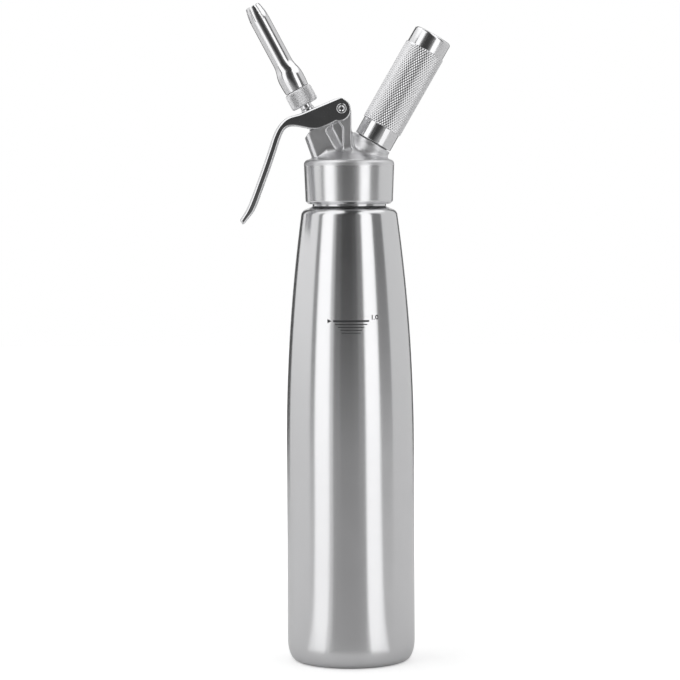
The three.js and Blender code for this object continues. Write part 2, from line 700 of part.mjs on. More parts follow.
function leverGeometry() {
  const innerShares = [
    [0.974, 1], [0.918, 0.938], [0.872, 0.885], [0.83, 0.803], [0.785, 0.695], [0.72, 0.542],
    [0.658, 0.384], [0.612, 0.262], [0.58, 0.197], [0.549, 0.163], [0.51, 0.149], [0.457, 0.148],
    [0.38, 0.16], [0.303, 0.174], [0.217, 0.172], [0.115, 0.136],
  ];
  const edge = leverOuterCurve().getSpacedPoints(20).map((point) => [point.x, point.y]);
  const arcX = pivotX - leverArcOffset * Math.cos(leverSlope);
  const arcZ = pivotHeight - leverArcOffset * Math.sin(leverSlope);
  const arcEnd = Math.PI * 2.5 + leverSlope;
  const pivotArc = corner(arcX, arcZ, leverEdgeRadius, Math.PI * 1.42, arcEnd, 8);
  const inner = innerShares.map(([x, z]) => [pivotX - leverReach * x, pivotHeight - leverDrop * z]);
  const outline = [...edge, ...inner, ...pivotArc.slice(0, -1)];
  const halfWidth = valveBlockHalfWidth + leverSideGap + leverSheet;
  const outside = solidOf(plate(outline, halfWidth, leverBend));
  const sunk = [];
  for (let i = 0; i < edge.length; i += 1) {
    const [x0, z0] = edge[Math.max(0, i - 1)];
    const [x1, z1] = edge[Math.min(edge.length - 1, i + 1)];
    const length = Math.hypot(x1 - x0, z1 - z0);
    sunk.push([edge[i][0] - leverSheet * (z1 - z0) / length, edge[i][1] + leverSheet * (x1 - x0) / length]);
  }
  const slopeX = Math.cos(leverSlope) * 3 * leverEdgeRadius;
  const slopeZ = Math.sin(leverSlope) * 3 * leverEdgeRadius;
  const hollow = solidOf(plate([
    [sunk[0][0] + slopeX, sunk[0][1] + slopeZ],
    ...sunk,
    [sunk[sunk.length - 1][0], pivotHeight - 2 * leverDrop],
    [pivotX + leverReach, pivotHeight - 2 * leverDrop],
    [pivotX + leverReach, pivotHeight],
  ], valveBlockHalfWidth + leverSideGap));
  const overTower = plate([
    [pivotX - leverEdgeRadius / 2, pivotHeight - leverEdgeRadius],
    [pivotX + 2 * leverEdgeRadius, pivotHeight - leverEdgeRadius],
    [pivotX + 2 * leverEdgeRadius, pivotHeight + 2 * leverEdgeRadius],
    [pivotX - leverEdgeRadius / 2, pivotHeight + 2 * leverEdgeRadius],
  ], valveBlockHalfWidth + leverSideGap - seatClearance);
  const slotBottom = plateHeight - 2 * leverEdgeRadius;
  const slotTop = plateHeight + leverEdgeRadius;
  const slotLength = slotHalfWidth + leverSlotReach;
  const slot = new THREE.Shape();
  slot.absarc(leverSlotReach, 0, slotHalfWidth, -Math.PI / 2, Math.PI / 2, false);
  slot.absarc(slotHalfWidth - slotLength, 0, slotHalfWidth, Math.PI / 2, Math.PI * 1.5, false);
  const slotCut = alongNozzle(new THREE.ExtrudeGeometry(slot, {
    depth: slotTop - slotBottom, bevelEnabled: false, curveSegments: 6,
  }).translate(0, 0, slotBottom));
  const holeLength = 2 * (halfWidth + overrun);
  const pinHole = disc(pinRadius + pinClearance, -holeLength / 2, holeLength / 2, smallSegments)
    .rotateX(Math.PI / 2)
    .translate(pivotX, 0, pivotHeight);
  return geometryOf(outside.subtract(hollow).subtract(solidOf(overTower))
    .subtract(solidOf(slotCut)).subtract(solidOf(pinHole)));
}

// The pivot pin lies along Y: its head at the front, its clip groove at the back
function pinGeometry() {
  const sleeve = valveBlockHalfWidth + leverSideGap + leverSheet + seatClearance;
  const grooveRadius = pinRadius - clipGrooveDepth;
  const clipEnd = sleeve + clipThickness + seatClearance;
  return geometryOf(solidOf(turned([
    [0, -clipEnd - clipThickness],
    [pinRadius, -clipEnd - clipThickness],
    [pinRadius, -clipEnd],
    [grooveRadius, -clipEnd],
    [grooveRadius, -sleeve],
    [pinRadius, -sleeve],
    [pinRadius, sleeve],
    [pinHeadRadius, sleeve],
    [pinHeadRadius, sleeve + pinHeadHeight - pinRecessDepth / 2],
    [pinHeadRadius - pinRecessDepth / 2, sleeve + pinHeadHeight],
    [pinRecessRadius, sleeve + pinHeadHeight],
    [pinRecessRadius - pinRecessDepth / 2, sleeve + pinHeadHeight - pinRecessDepth],
    [0, sleeve + pinHeadHeight - pinRecessDepth],
  ], smallSegments)));
}

// A push-on ring, open on one side, that sits in the pin's groove
function clipGeometry() {
  const inner = pinRadius - clipGrooveDepth + pinClearance;
  const sleeve = valveBlockHalfWidth + leverSideGap + leverSheet + seatClearance;
  const bottom = -sleeve - clipThickness - seatClearance / 2;
  const ring = washer(inner, clipRadius, bottom, bottom + clipThickness, smallSegments);
  const reach = clipRadius + overrun;
  const mouth = new THREE.BoxGeometry(reach, 2 * inner * Math.SQRT1_2, clipThickness + overrun)
    .translate(reach / 2, 0, bottom + clipThickness / 2);
  return geometryOf(solidOf(ring).subtract(solidOf(mouth)));
}

function holderGeometry() {
  const thread = matingThread(stubThread);
  const bore = thread.wall;
  const bottom = portRimHeight + seatClearance * 2;
  const threadTop = portRimHeight + stubHeight + seatClearance;
  const cavityTop = holderTop - holderTopWall;
  const body = turned([
    [bore, bottom],
    [holderEndRadius - holderEdge / 2, bottom],
    [holderEndRadius, bottom + holderEdge / 2],
    [holderEndRadius, bottom + holderFootBand],
    [holderKnurlRadius, bottom + holderFootBand + holderEdge / 2],
    [holderKnurlRadius, holderTop - holderTopBand - holderEdge / 2],
    [holderEndRadius, holderTop - holderTopBand],
    [holderEndRadius, holderTop - holderEdge],
    [holderEndRadius - holderEdge, holderTop],
    [0, holderTop],
    [0, cavityTop],
    [holderCavityRadius / 2, cavityTop],
    [holderCavityRadius, cavityTop - holderCavityRadius / 2],
    [holderCavityRadius, threadTop + holderEdge],
    [bore, threadTop],
  ], roundSegments);
  return geometryOf(solidOf(body).add(solidOf(ridge(thread))));
}

// The gas charger stands on its neck, its round end up
function chargerGeometry() {
  const neckTopHeight = chargerBottom + chargerNeckLength;
  const coneTop = neckTopHeight + chargerConeLength;
  const endCentre = chargerBottom + chargerLength - chargerRadius;
  return geometryOf(solidOf(turned([
    [0, chargerBottom],
    [chargerNeckRadius, chargerBottom],
    [chargerNeckRadius, neckTopHeight],
    [(chargerNeckRadius + chargerRadius) / 2, neckTopHeight + chargerConeLength / 3],
    [chargerRadius, coneTop],
    ...corner(0, endCentre, chargerRadius, 0, Math.PI / 2, 4),
  ], smallSegments)));
}

// The piercing valve: a flange on a hollow shank with the needle's seat in it
function piercerGeometry() {
  const shankBottom = gasChamberHeight - sleeveHeight;
  return geometryOf(solidOf(turned([
    [needleRadius + guideClearance, shankBottom],
    [piercerShankRadius, shankBottom],
    [piercerShankRadius, piercerBottom],
    [stubBoreRadius - seatClearance, piercerBottom],
    [stubBoreRadius - seatClearance, piercerTop],
    [needleRadius + guideClearance, piercerTop],
  ], smallSegments)));
}

function needleGeometry() {
  const bottom = piercerFloor;
  const shoulder = chargerSealBottom + chargerSealThickness / 2;
  return geometryOf(solidOf(turned([
    [0, bottom],
    [needleRadius, bottom],
    [needleRadius, shoulder],
    [0, chargerBottom - seatClearance],
  ], tinySegments)));
}

function sleeveGeometry() {
  const inner = piercerShankRadius + guideClearance;
  const top = gasChamberHeight - seatClearance;
  return washer(inner, inner + sleeveWall, top - sleeveHeight + sleeveWall, top, smallSegments);
}

// The guide bush fills the valve bore and holds the stem ring in its foot
function guideBushGeometry() {
  const bottom = valveBoreFloor + seatClearance;
  const inner = stemRadius + guideClearance;
  const outer = valveBoreRadius - seatClearance;
  const recess = inner + stemRingThickness;
  return turned([
    [recess, bottom],
    [outer, bottom],
    [outer, bottom + guideBushHeight],
    [inner, bottom + guideBushHeight],
    [inner, bottom + stemRingRecess],
    [recess, bottom + stemRingRecess],
  ], smallSegments);
}

function stemRingGeometry() {
  const tube = stemRingThickness / 2 - guideClearance / 2;
  const centre = stemRadius + guideClearance + tube;
  const height = valveBoreFloor + seatClearance + stemRingRecess / 2;
  return new THREE.TorusGeometry(centre, tube, 8, smallSegments).translate(0, 0, height);
}

function valveSealGeometry() {
  const top = valveSeatHeight - seatClearance * 2;
  const inner = sealNutThread + seatClearance;
  return washer(inner, valveSealRadius, top - valveSealThickness + seatClearance, top, smallSegments);
}

// A six-sided nut on the stem's spigot, below the seal
function sealNutGeometry() {
  const bottom = valveSeatHeight - seatClearance * 2 - valveSealThickness - sealNutHeight;
  const shape = new THREE.Shape();
  for (let i = 0; i < 6; i += 1) {
    const angle = Math.PI / 3 * i;
    const place = [sealNutRadius * Math.cos(angle), sealNutRadius * Math.sin(angle)];
    if (i === 0) shape.moveTo(...place);
    else shape.lineTo(...place);
  }
  const hole = new THREE.Path();
  hole.absarc(0, 0, sealNutThread + seatClearance, 0, 2 * Math.PI, true);
  shape.holes.push(hole);
  return new THREE.ExtrudeGeometry(shape, {
    depth: sealNutHeight - seatClearance, bevelEnabled: false, curveSegments: smallSegments,
  }).translate(0, 0, bottom);
}

function part(name, geometry, finish) {
  const material = new THREE.MeshStandardMaterial({
    color: finish.colour, roughness: finish.roughness, metalness: finish.metalness,
  });
  const mesh = new THREE.Mesh(geometry, material);
  mesh.name = name;
  return mesh;
}

const dispenser = new THREE.Group();
dispenser.add(part('bottle', bottleGeometry(), steel));

const head = new THREE.Group();
head.position.z = headHeight;
dispenser.add(head);
head.add(part('head_body', headGeometry(), steel));
head.add(part('lever', leverGeometry(), polishedSteel));
const gasketGeometry = washer(cavityRadius, collarBore - seatClearance, gasketBottom,
  gasketBottom + gasketThickness, headSegments);
head.add(part('head_gasket', gasketGeometry, redRubber));

// The pin's axis is along Y, with its head towards -Y
const pivot = new THREE.Group();
pivot.position.set(pivotX, 0, pivotHeight);
pivot.rotation.x = Math.PI / 2;
head.add(pivot);
pivot.add(part('pivot_pin', pinGeometry(), polishedSteel));
pivot.add(part('pivot_clip', clipGeometry(), springSteel));

const valve = new THREE.Group();
valve.position.z = nozzleOriginHeight;
valve.rotation.y = -nozzleTilt;
head.add(valve);
valve.add(part('valve_stem', stemGeometry(), polishedSteel));
valve.add(part('valve_spring', springGeometry(), springSteel));
valve.add(part('valve_seal', valveSealGeometry(), redRubber));
valve.add(part('seal_nut', sealNutGeometry(), steel));
valve.add(part('guide_bush', guideBushGeometry(), brass));
valve.add(part('stem_ring', stemRingGeometry(), blackRubber));
valve.add(part('adapter_ring', ringGeometry(), mattSteel));
const nozzleSealBottom = stemTop + seatClearance;
const nozzleSealGeometry = washer(stemBore + seatClearance, ringRecessRadius - seatClearance,
  nozzleSealBottom, nozzleSealBottom + nozzleSealThickness);
valve.add(part('nozzle_seal', nozzleSealGeometry, greyRubber));
valve.add(part('decorator_nozzle', nozzleGeometry(), polishedSteel));

const port = new THREE.Group();
port.position.z = portOriginHeight;
port.rotation.y = portTilt;
head.add(port);
port.add(part('charger_holder', holderGeometry(), steel));
port.add(part('gas_charger', chargerGeometry(), chargerSteel));
port.add(part('piercing_valve', piercerGeometry(), brass));
port.add(part('piercing_needle', needleGeometry(), springSteel));
port.add(part('check_valve_sleeve', sleeveGeometry(), blackRubber));
const piercerGasketBottom = piercerFloor + seatClearance;
const piercerGasketGeometry = washer(piercerShankRadius + seatClearance, stubBoreRadius - seatClearance,
  piercerGasketBottom, piercerGasketBottom + piercerGasketThickness, smallSegments);
port.add(part('piercer_gasket', piercerGasketGeometry, greyRubber));
const chargerSealGeometry = washer(needleRadius + seatClearance, stubBoreRadius - seatClearance,
  chargerSealBottom, chargerSealBottom + chargerSealThickness, smallSegments);
port.add(part('charger_seal', chargerSealGeometry, blackRubber));

export default dispenser;
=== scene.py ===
import json
import math

import bpy
import numpy as np
from mathutils import Matrix, Vector


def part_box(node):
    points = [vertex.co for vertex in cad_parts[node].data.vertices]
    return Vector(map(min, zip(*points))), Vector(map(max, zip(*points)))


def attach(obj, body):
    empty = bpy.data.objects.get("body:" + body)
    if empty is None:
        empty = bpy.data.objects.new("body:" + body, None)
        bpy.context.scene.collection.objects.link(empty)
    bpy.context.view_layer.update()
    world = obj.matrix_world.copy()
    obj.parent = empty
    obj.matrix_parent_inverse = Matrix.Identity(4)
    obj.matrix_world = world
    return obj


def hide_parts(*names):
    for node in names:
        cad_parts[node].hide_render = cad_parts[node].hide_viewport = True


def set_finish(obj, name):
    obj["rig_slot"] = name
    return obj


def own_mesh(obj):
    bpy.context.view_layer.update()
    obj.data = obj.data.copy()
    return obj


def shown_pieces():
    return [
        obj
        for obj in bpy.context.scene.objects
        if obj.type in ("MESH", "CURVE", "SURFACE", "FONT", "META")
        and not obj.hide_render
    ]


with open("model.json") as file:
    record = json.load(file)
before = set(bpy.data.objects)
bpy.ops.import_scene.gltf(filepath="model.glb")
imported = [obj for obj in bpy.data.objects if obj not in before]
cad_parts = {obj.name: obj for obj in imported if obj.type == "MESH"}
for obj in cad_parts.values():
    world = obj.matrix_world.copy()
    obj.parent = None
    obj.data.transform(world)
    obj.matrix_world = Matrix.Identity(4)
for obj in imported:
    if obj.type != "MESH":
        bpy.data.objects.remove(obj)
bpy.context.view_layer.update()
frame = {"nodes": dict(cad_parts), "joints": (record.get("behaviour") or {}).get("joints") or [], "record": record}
MM = 0.001

# %% [markdown]
# ## The camera
# The photograph was taken from about a metre and a half away with a long lens, a
# little above the middle of the bottle, which is why the upright sides stay nearly
# parallel. A long lens is rebuilt with its distance and its focal length together:
# either of them alone gives the right size with the wrong perspective.
# %% Place the camera
CAMERA_PLACE = Vector((-6.2, -1560.1, 300.5)) * MM
CAMERA_AIM = Vector((-6.2, 0, 201.2)) * MM
CAMERA_LENS = 132.19
CAMERA_ROLL = math.radians(-0.292)
SENSOR_WIDTH = 36

camera_data = bpy.data.cameras.new("camera")
camera_data.sensor_width = SENSOR_WIDTH
camera_data.lens = CAMERA_LENS
camera = bpy.data.objects.new("camera", camera_data)
bpy.context.scene.collection.objects.link(camera)
look = (CAMERA_AIM - CAMERA_PLACE).to_track_quat("-Z", "Y").to_matrix()
camera.matrix_world = (look @ Matrix.Rotation(CAMERA_ROLL, 3, "Z")).to_4x4()
camera.location = CAMERA_PLACE
bpy.context.scene.camera = camera
print("camera distance", round((CAMERA_AIM - CAMERA_PLACE).length, 3), "m")

# %% [markdown]
# ## Axes from the frame
# The nozzle and the charger holder stand at angles on the head. Their joints say
# where each axis starts and which way it points, so a piece can be drawn upright
# in its own axes and then laid onto the joint's axis with one matrix.
# %% Read the axes
JOINTS = {joint["name"]: joint for joint in frame["joints"]}
UPRIGHT = Matrix.Identity(4)


def axes_of(joint_name):
    """A matrix whose Z runs along a joint's axis, from the joint's point"""
    joint = JOINTS[joint_name]
    along = Vector(joint["axis"]).normalized()
    across = Vector((0, 1, 0)).cross(along)
    matrix = Matrix((across, (0, 1, 0), along)).transposed().to_4x4()
    matrix.translation = Vector(joint["pos_m"])
    return matrix


def span(node, axes=UPRIGHT):
    """Bottom, top and largest radius of a node of the frame along some axes, in mm"""
    inverse = axes.inverted()
    points = np.array([inverse @ v.co for v in frame["nodes"][node].data.vertices]) / MM
    return points[:, 2].min(), points[:, 2].max(), np.hypot(points[:, 0], points[:, 1]).max()


VALVE_AXES = axes_of("nozzle_unscrew")
PORT_AXES = axes_of("holder_unscrew")
HEAD_AXES = Matrix.Translation((0, 0, span("head_body")[0] * MM))
PIVOT = HEAD_AXES.inverted() @ Vector(JOINTS["lever_squeeze"]["pos_m"]) / MM
print("the lever's pivot on the head:", [round(c, 1) for c in PIVOT], "mm")

# %% [markdown]
# ## Turned shapes
# Most pieces here are made on a lathe, so each is a profile spun about an axis.
# Real turned edges are never sharp: the tool or a file breaks them. So a corner of
# a profile may carry a radius, and a short arc then takes its place, which is what
# catches the light along the edge. Ridges such as a thread or a knurl are worked
# into the same net of points, so that they are real shape and not only shading.
# The five radii named here are those that a file or a tool usually leaves.
# %% Helpers for turned pieces
ARC_STEP = math.radians(11)
TINY, FAR = 1e-6, 1e9
DEBURRED, BROKEN, EASED, SOFTENED, ROUNDED = 0.1, 0.2, 0.3, 0.4, 0.5


def rounded(profile):
    """A profile of (r, z) or (r, z, radius) points with an arc at each radius"""
    points = []
    for i, corner in enumerate(profile):
        here = Vector(corner[:2])
        radius = corner[2] if len(corner) > 2 else 0
        before = Vector(profile[i - 1][:2]) - here
        after = Vector(profile[(i + 1) % len(profile)][:2]) - here
        turn = math.pi - before.angle(after, math.pi)
        if radius == 0 or turn < TINY:
            points.append(here)
            continue
        reach = min(radius * math.tan(turn / 2), before.length / 2, after.length / 2)
        radius = reach / math.tan(turn / 2)
        middle = (before.normalized() + after.normalized()).normalized()
        centre = here + middle * radius / math.cos(turn / 2)
        first = here + before.normalized() * reach - centre
        last = here + after.normalized() * reach - centre
        steps = max(2, round(turn / ARC_STEP))
        points += [centre + first.slerp(last, k / steps) * radius for k in range(steps + 1)]
    return [(p.x, p.y) for p in points]


def rows(r, bottom, top, step):
    """Points along a straight wall, close enough to carry a thread or ridges"""
    count = max(1, round(abs(top - bottom) / step))
    return [(r, bottom + (top - bottom) * i / count) for i in range(count + 1)]


# %% [markdown]
# Spinning sets a copy of the profile at each step round the axis and joins each
# point to its neighbours with a quad. Where the profile touches the axis all the
# copies fall on one point, so the quads there shrink to triangles.
# %% Spin a profile


def spin(profile, segments, relief=None):
    """Points and faces of a closed profile spun about Z; relief moves the wall out"""
    r, z = np.maximum(np.array(profile).T[:, :, None], [[[0]], [[-FAR]]])
    angle = 2 * math.pi * np.arange(segments)[None] / segments
    at = r + (relief(r, z, angle) if relief else 0 * angle)
    points = np.stack([at * np.cos(angle), at * np.sin(angle), z + 0 * at], -1).reshape(-1, 3)
    ids = np.arange(len(points)).reshape(len(profile), segments)
    on_axis = r[:, 0] < TINY
    ids[on_axis] = ids[on_axis][:, :1]
    faces = []
    for k in range(len(profile)):
        low, high = ids[k], ids[(k + 1) % len(profile)]
        low_on, high_on = on_axis[k], on_axis[(k + 1) % len(profile)]
        if low_on and high_on:
            continue
        ring = [low, np.roll(low, -1), np.roll(high, -1), high]
        if low_on:
            ring = [low, np.roll(high, -1), high]
        if high_on:
            ring = [low, np.roll(low, -1), high]
        faces += np.stack(ring, -1).tolist()
    return points, faces


# %% [markdown]
# A piece is drawn in millimetres in its own axes. Its object is then laid onto the
# axis of its joint, tied to the body that it moves with, and set in the place of
# the plain solid that it stands for.
# %% Place a piece in the frame


def new_piece(name, points, faces, body, slot, replaced, axes):
    """A mesh in mm along some axes, placed in the frame and tied to its body"""
    used = sorted({v for face in faces for v in face})
    renumber = {old: new for new, old in enumerate(used)}
    mesh = bpy.data.meshes.new(name)
    faces = [[renumber[v] for v in face] for face in faces]
    mesh.from_pydata((np.array(points)[used] * MM).tolist(), [], faces)
    mesh.polygons.foreach_set("use_smooth", [True] * len(mesh.polygons))
    piece = bpy.data.objects.new(name, mesh)
    bpy.context.scene.collection.objects.link(piece)
    piece.matrix_world = axes
    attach(piece, body)
    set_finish(piece, slot)
    if replaced:
        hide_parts(*replaced)
    return piece


SHARP = math.radians(32)
BOTTLE_SIDES, MANY_SIDES, WASHER_SIDES, SMALL_SIDES, NEEDLE_SIDES = 160, 96, 80, 64, 32


def turned(name, profile, body, slot, replaced, axes=UPRIGHT, segments=MANY_SIDES, relief=None):
    """A piece spun from a profile that runs anticlockwise round its section"""
    profile = rounded(profile)
    points, faces = spin(profile, segments, relief)
    piece = new_piece(name, points, faces, body, slot, replaced, axes)
    piece.data.set_sharp_from_angle(angle=SHARP)
    print(name, len(faces), "faces")


# %% [markdown]
# ## Threads
# A screw thread is a ridge that climbs by one pitch each turn. Seen on the flat, it
# is a slanting line, so its height above the wall follows from the distance between
# a point and the nearest turn of that line. One function of height and angle then
# serves the neck, the stub and the bores that screw onto them.
# %% The thread's ridge
NECK_THREAD = {"pitch": 3.0, "depth": 1.2, "base": 1.4, "crest": 0.6, "turns": 2.25}
STUB_THREAD = {"pitch": 2.5, "depth": 0.8, "base": 1.2, "crest": 0.5, "turns": 2.5}
STEM_THREAD = {"pitch": 2.0, "depth": 0.7, "base": 0.9, "crest": 0.4, "turns": 2.75}
SCREW_CLEARANCE = 0.3
THREAD_FADE_SHARE = 0.125


def ridge(z, angle, start, thread):
    """How far a thread stands out of its wall at a height and an angle"""
    first = (angle / (2 * math.pi)) % 1
    best = 0 * (z + first)
    for whole in range(math.ceil(thread["turns"])):
        turn = first + whole
        off = np.abs(z - start - thread["pitch"] * turn)
        flank = (thread["base"] - thread["crest"]) / 2
        height = np.clip((thread["base"] / 2 - off) / flank, 0, 1)
        ends = np.minimum(turn, thread["turns"] - turn) / THREAD_FADE_SHARE
        best = np.maximum(best, height * np.clip(ends, 0, 1))
    return best * thread["depth"]


def thread_start(top, thread):
    """Where a thread begins that ends just short of the top of its wall"""
    return top - thread["turns"] * thread["pitch"] - thread["base"]


def mating(start, thread):
    """The thread in a bore, half a pitch along from the one that it screws onto"""
    return start + thread["pitch"] / 2, {**thread, "turns": thread["turns"] - 0.5}


# %% [markdown]
# ## The bottle
# The bottle is drawn and spun from sheet steel. Its wall is upright to a third of
# its height and then leans in faster and faster to a tight shoulder, so the taper
# follows a square law. A curve by formula keeps the long reflections straight and
# unbroken, where a few hand-placed rings would make them ripple. Above the shoulder
# a short cone runs in to the neck, whose foot is a little wider than its thread.
# %% The bottle's sizes
BOTTLE_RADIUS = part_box("bottle")[1].x / MM
BOTTLE_TOP = span("bottle")[1]
BOTTLE_WALL = 1.0
BASE_THICKNESS = 2.0
BASE_CORNER_WIDTH, BASE_CORNER_HEIGHT = 5.5, 12.5
GROOVE_RADIUS, GROOVE_WIDTH, GROOVE_DEPTH = 27.5, 6.0, 0.8
GROOVE_ROUND = 1.5
TAPER_START, TAPER_END, TAPER_DEPTH = 133.0, 279.4, 9.9
SHOULDER_HEIGHT, SHOULDER_RADIUS, SHOULDER_END = 283.4, 4.5, math.radians(68)
NECK_RADIUS, NECK_SWELL = 22.6, 23.0
NECK_FOOT, NECK_SWELL_TOP = 284.8, 287.0
NECK_FOOT_ROUND, MOUTH_ROUND = 0.8, 0.4
NECK_RUN_IN, MOUTH_LAND = 0.4, 1
CORNER_STEPS, TAPER_STEPS, IN_TAPER_STEPS = 12, 40, 10
THREAD_STEP = 0.25


def bottle_radius(z):
    """The bottle's outer radius at a height above its base corner"""
    share = max(0.0, (z - TAPER_START) / (TAPER_END - TAPER_START))
    return BOTTLE_RADIUS - TAPER_DEPTH * share ** 2


# %% [markdown]
# The profile goes from the middle of the base outwards, over the groove that keeps
# the base from rocking, up the wall and over the shoulder to the mouth. The inside
# comes back down at the sheet's thickness, with fewer points, as nobody sees it.
# %% The bottle's profile
groove_in, groove_out = GROOVE_RADIUS - GROOVE_WIDTH / 2, GROOVE_RADIUS + GROOVE_WIDTH / 2
bottle_outside = [
    (0, 0),
    (groove_in, 0, GROOVE_ROUND),
    (groove_in + GROOVE_DEPTH, GROOVE_DEPTH, GROOVE_ROUND),
    (groove_out - GROOVE_DEPTH, GROOVE_DEPTH, GROOVE_ROUND),
    (groove_out, 0, GROOVE_ROUND),
]
foot = BOTTLE_RADIUS - BASE_CORNER_WIDTH
for i in range(CORNER_STEPS + 1):
    angle = math.pi / 2 * i / CORNER_STEPS
    out = foot + BASE_CORNER_WIDTH * math.sin(angle)
    bottle_outside.append((out, BASE_CORNER_HEIGHT * (1 - math.cos(angle))))
taper = [TAPER_START + (TAPER_END - TAPER_START) * i / TAPER_STEPS
         for i in range(TAPER_STEPS + 1)]
bottle_outside += [(bottle_radius(z), z) for z in taper]
lean = math.atan(2 * TAPER_DEPTH / (TAPER_END - TAPER_START))
shoulder_centre = bottle_radius(TAPER_END) - SHOULDER_RADIUS * math.cos(lean)
for i in range(1, CORNER_STEPS + 1):
    angle = lean + (SHOULDER_END - lean) * i / CORNER_STEPS
    rise = SHOULDER_HEIGHT - SHOULDER_RADIUS + SHOULDER_RADIUS * math.sin(angle)
    bottle_outside.append((shoulder_centre + SHOULDER_RADIUS * math.cos(angle), rise))
bottle_outside.append((NECK_SWELL, NECK_FOOT, NECK_FOOT_ROUND))
bottle_outside.append((NECK_SWELL, NECK_SWELL_TOP, NECK_FOOT_ROUND))
bottle_outside += rows(NECK_RADIUS, NECK_SWELL_TOP + NECK_RUN_IN, BOTTLE_TOP - MOUTH_LAND,
                       THREAD_STEP)
bottle_outside.append((NECK_RADIUS, BOTTLE_TOP, MOUTH_ROUND))
bottle_inside = [
    (NECK_RADIUS - BOTTLE_WALL, BOTTLE_TOP, MOUTH_ROUND),
    (NECK_RADIUS - BOTTLE_WALL, SHOULDER_HEIGHT - BOTTLE_WALL, BOTTLE_WALL),
    (shoulder_centre, SHOULDER_HEIGHT - BOTTLE_WALL, 3 * BOTTLE_WALL),
]
for z in taper[::-TAPER_STEPS // IN_TAPER_STEPS]:
    bottle_inside.append((bottle_radius(z) - BOTTLE_WALL, z - BOTTLE_WALL))
bottle_inside.append((BOTTLE_RADIUS - BOTTLE_WALL, BASE_THICKNESS, BASE_CORNER_WIDTH))
bottle_inside.append((0, BASE_THICKNESS))
print("the bottle's profile has", len(bottle_outside), "points outside")

# %% Spin the bottle
neck_start = thread_start(BOTTLE_TOP, NECK_THREAD)


def neck_relief(r, z, angle):
    """The neck's thread; the rest of the bottle is smooth"""
    thread = ridge(z, angle, neck_start, NECK_THREAD)
    return np.where(np.abs(r - NECK_RADIUS) < TINY, thread, 0)


turned("bottle_shell", bottle_outside + bottle_inside, "bottle", "brushed_bottle",
       ["bottle"], segments=BOTTLE_SIDES, relief=neck_relief)

# %% [markdown]
# ## Cast and pressed shapes
# The head is a casting: its lumps flow into each other, and no edge is sharp. Such
# a shape is easiest to say as distances. Each lump is a function that gives how far
# a point is from its surface, a join takes the smaller distance with a soft blend,
# and a cut takes the larger. A net of quads is then laid where the distance is zero
# and each point is slid exactly onto that surface, with its normal from the slope
# of the distance, so even tight edges shade smoothly.
# %% Distances
BEYOND = 60


def outline_distance(x, z, outline):
    """Signed distance in a plane from points to a closed outline, negative inside"""
    x, z = np.broadcast_arrays(x, z)
    best, sign = np.full(x.shape, FAR), np.ones(x.shape)
    for (ax, az), (bx, bz) in zip(outline, outline[1:] + outline[:1]):
        ex, ez, wx, wz = bx - ax, bz - az, x - ax, z - az
        along = np.clip((wx * ex + wz * ez) / max(ex * ex + ez * ez, TINY ** 2), 0, 1)
        best = np.minimum(best, (wx - ex * along) ** 2 + (wz - ez * along) ** 2)
        above, below, left = z >= az, z < bz, ex * wz > ez * wx
        sign = np.where((above & below & left) | ~(above | below | left), -sign, sign)
    return sign * np.sqrt(best)


def about_axis(profile):
    """A profile with both ends on the axis, carried past it so that no wall is there"""
    return rounded([(-BEYOND, profile[0][1]), *profile[1:-1], (-BEYOND, profile[-1][1])])


def blend(a, b, reach):
    """The join of two solids, with a fillet where they come within reach"""
    near = np.maximum(reach - np.abs(a - b), 0) / reach
    return np.minimum(a, b) - near * near * reach / 4


def carve(a, b, reach):
    """What is left of a when b is cut out of it, with the edge eased"""
    return -blend(-a, b, reach)


def slab(flat, across, edge):
    """An outline's distance and a thickness's as one solid with round edges"""
    u, v = flat + edge, across + edge
    outer = np.hypot(np.maximum(u, 0), np.maximum(v, 0))
    return np.minimum(np.maximum(u, v), 0) + outer - edge


def along_axes(axes, x, y, z):
    """Points of the head's frame, in mm, as seen along a joint's axes"""
    turn = np.array(axes.inverted() @ HEAD_AXES)
    return [row[0] * x + row[1] * y + row[2] * z + row[3] / MM for row in turn[:3]]


# %% [markdown]
# ## A net over a distance
# The grid is worked out in blocks, and only the blocks that the surface can reach
# get a value at every point, which makes a fine net quick. Each cell that the
# surface crosses gets one point, and each grid edge that it crosses gets one quad.
# %% Helpers for netted pieces
BLOCK = 4
BLOCK_SLACK = 0.5
SLOPE_STEP = 0.02
SLIDES = 3
LEAST_STEEPNESS = 0.2


def grid_values(distance, low, counts, cell):
    """The distance at every grid point, exact near the surface"""
    centres = [a + cell * (BLOCK * np.arange(-(-n // BLOCK)) + (BLOCK - 1) / 2)
               for a, n in zip(low, counts)]
    rough = distance(*[axis.ravel() for axis in np.meshgrid(*centres, indexing="ij")])
    rough = rough.reshape([len(c) for c in centres])
    values = rough.repeat(BLOCK, 0).repeat(BLOCK, 1).repeat(BLOCK, 2)
    values = values[:counts[0], :counts[1], :counts[2]].copy()
    near = np.abs(values) < cell * BLOCK + BLOCK_SLACK
    values[near] = distance(*(np.array(low)[:, None] + np.argwhere(near).T * cell))
    return values


def slope_of(distance, points):
    """Which way a distance grows at each point, and how fast"""
    parts = []
    for step in np.eye(3) * SLOPE_STEP:
        ahead, behind = distance(*(points + step).T), distance(*(points - step).T)
        parts.append((ahead - behind) / (2 * SLOPE_STEP))
    return np.stack(parts, -1)


# %% [markdown]
# A cell's point starts at the mean of the places where the surface crosses the
# cell's edges. The few slides at the end take it onto the surface, along the slope
# of the distance, by as much as the distance says is left.
# %% Lay the net


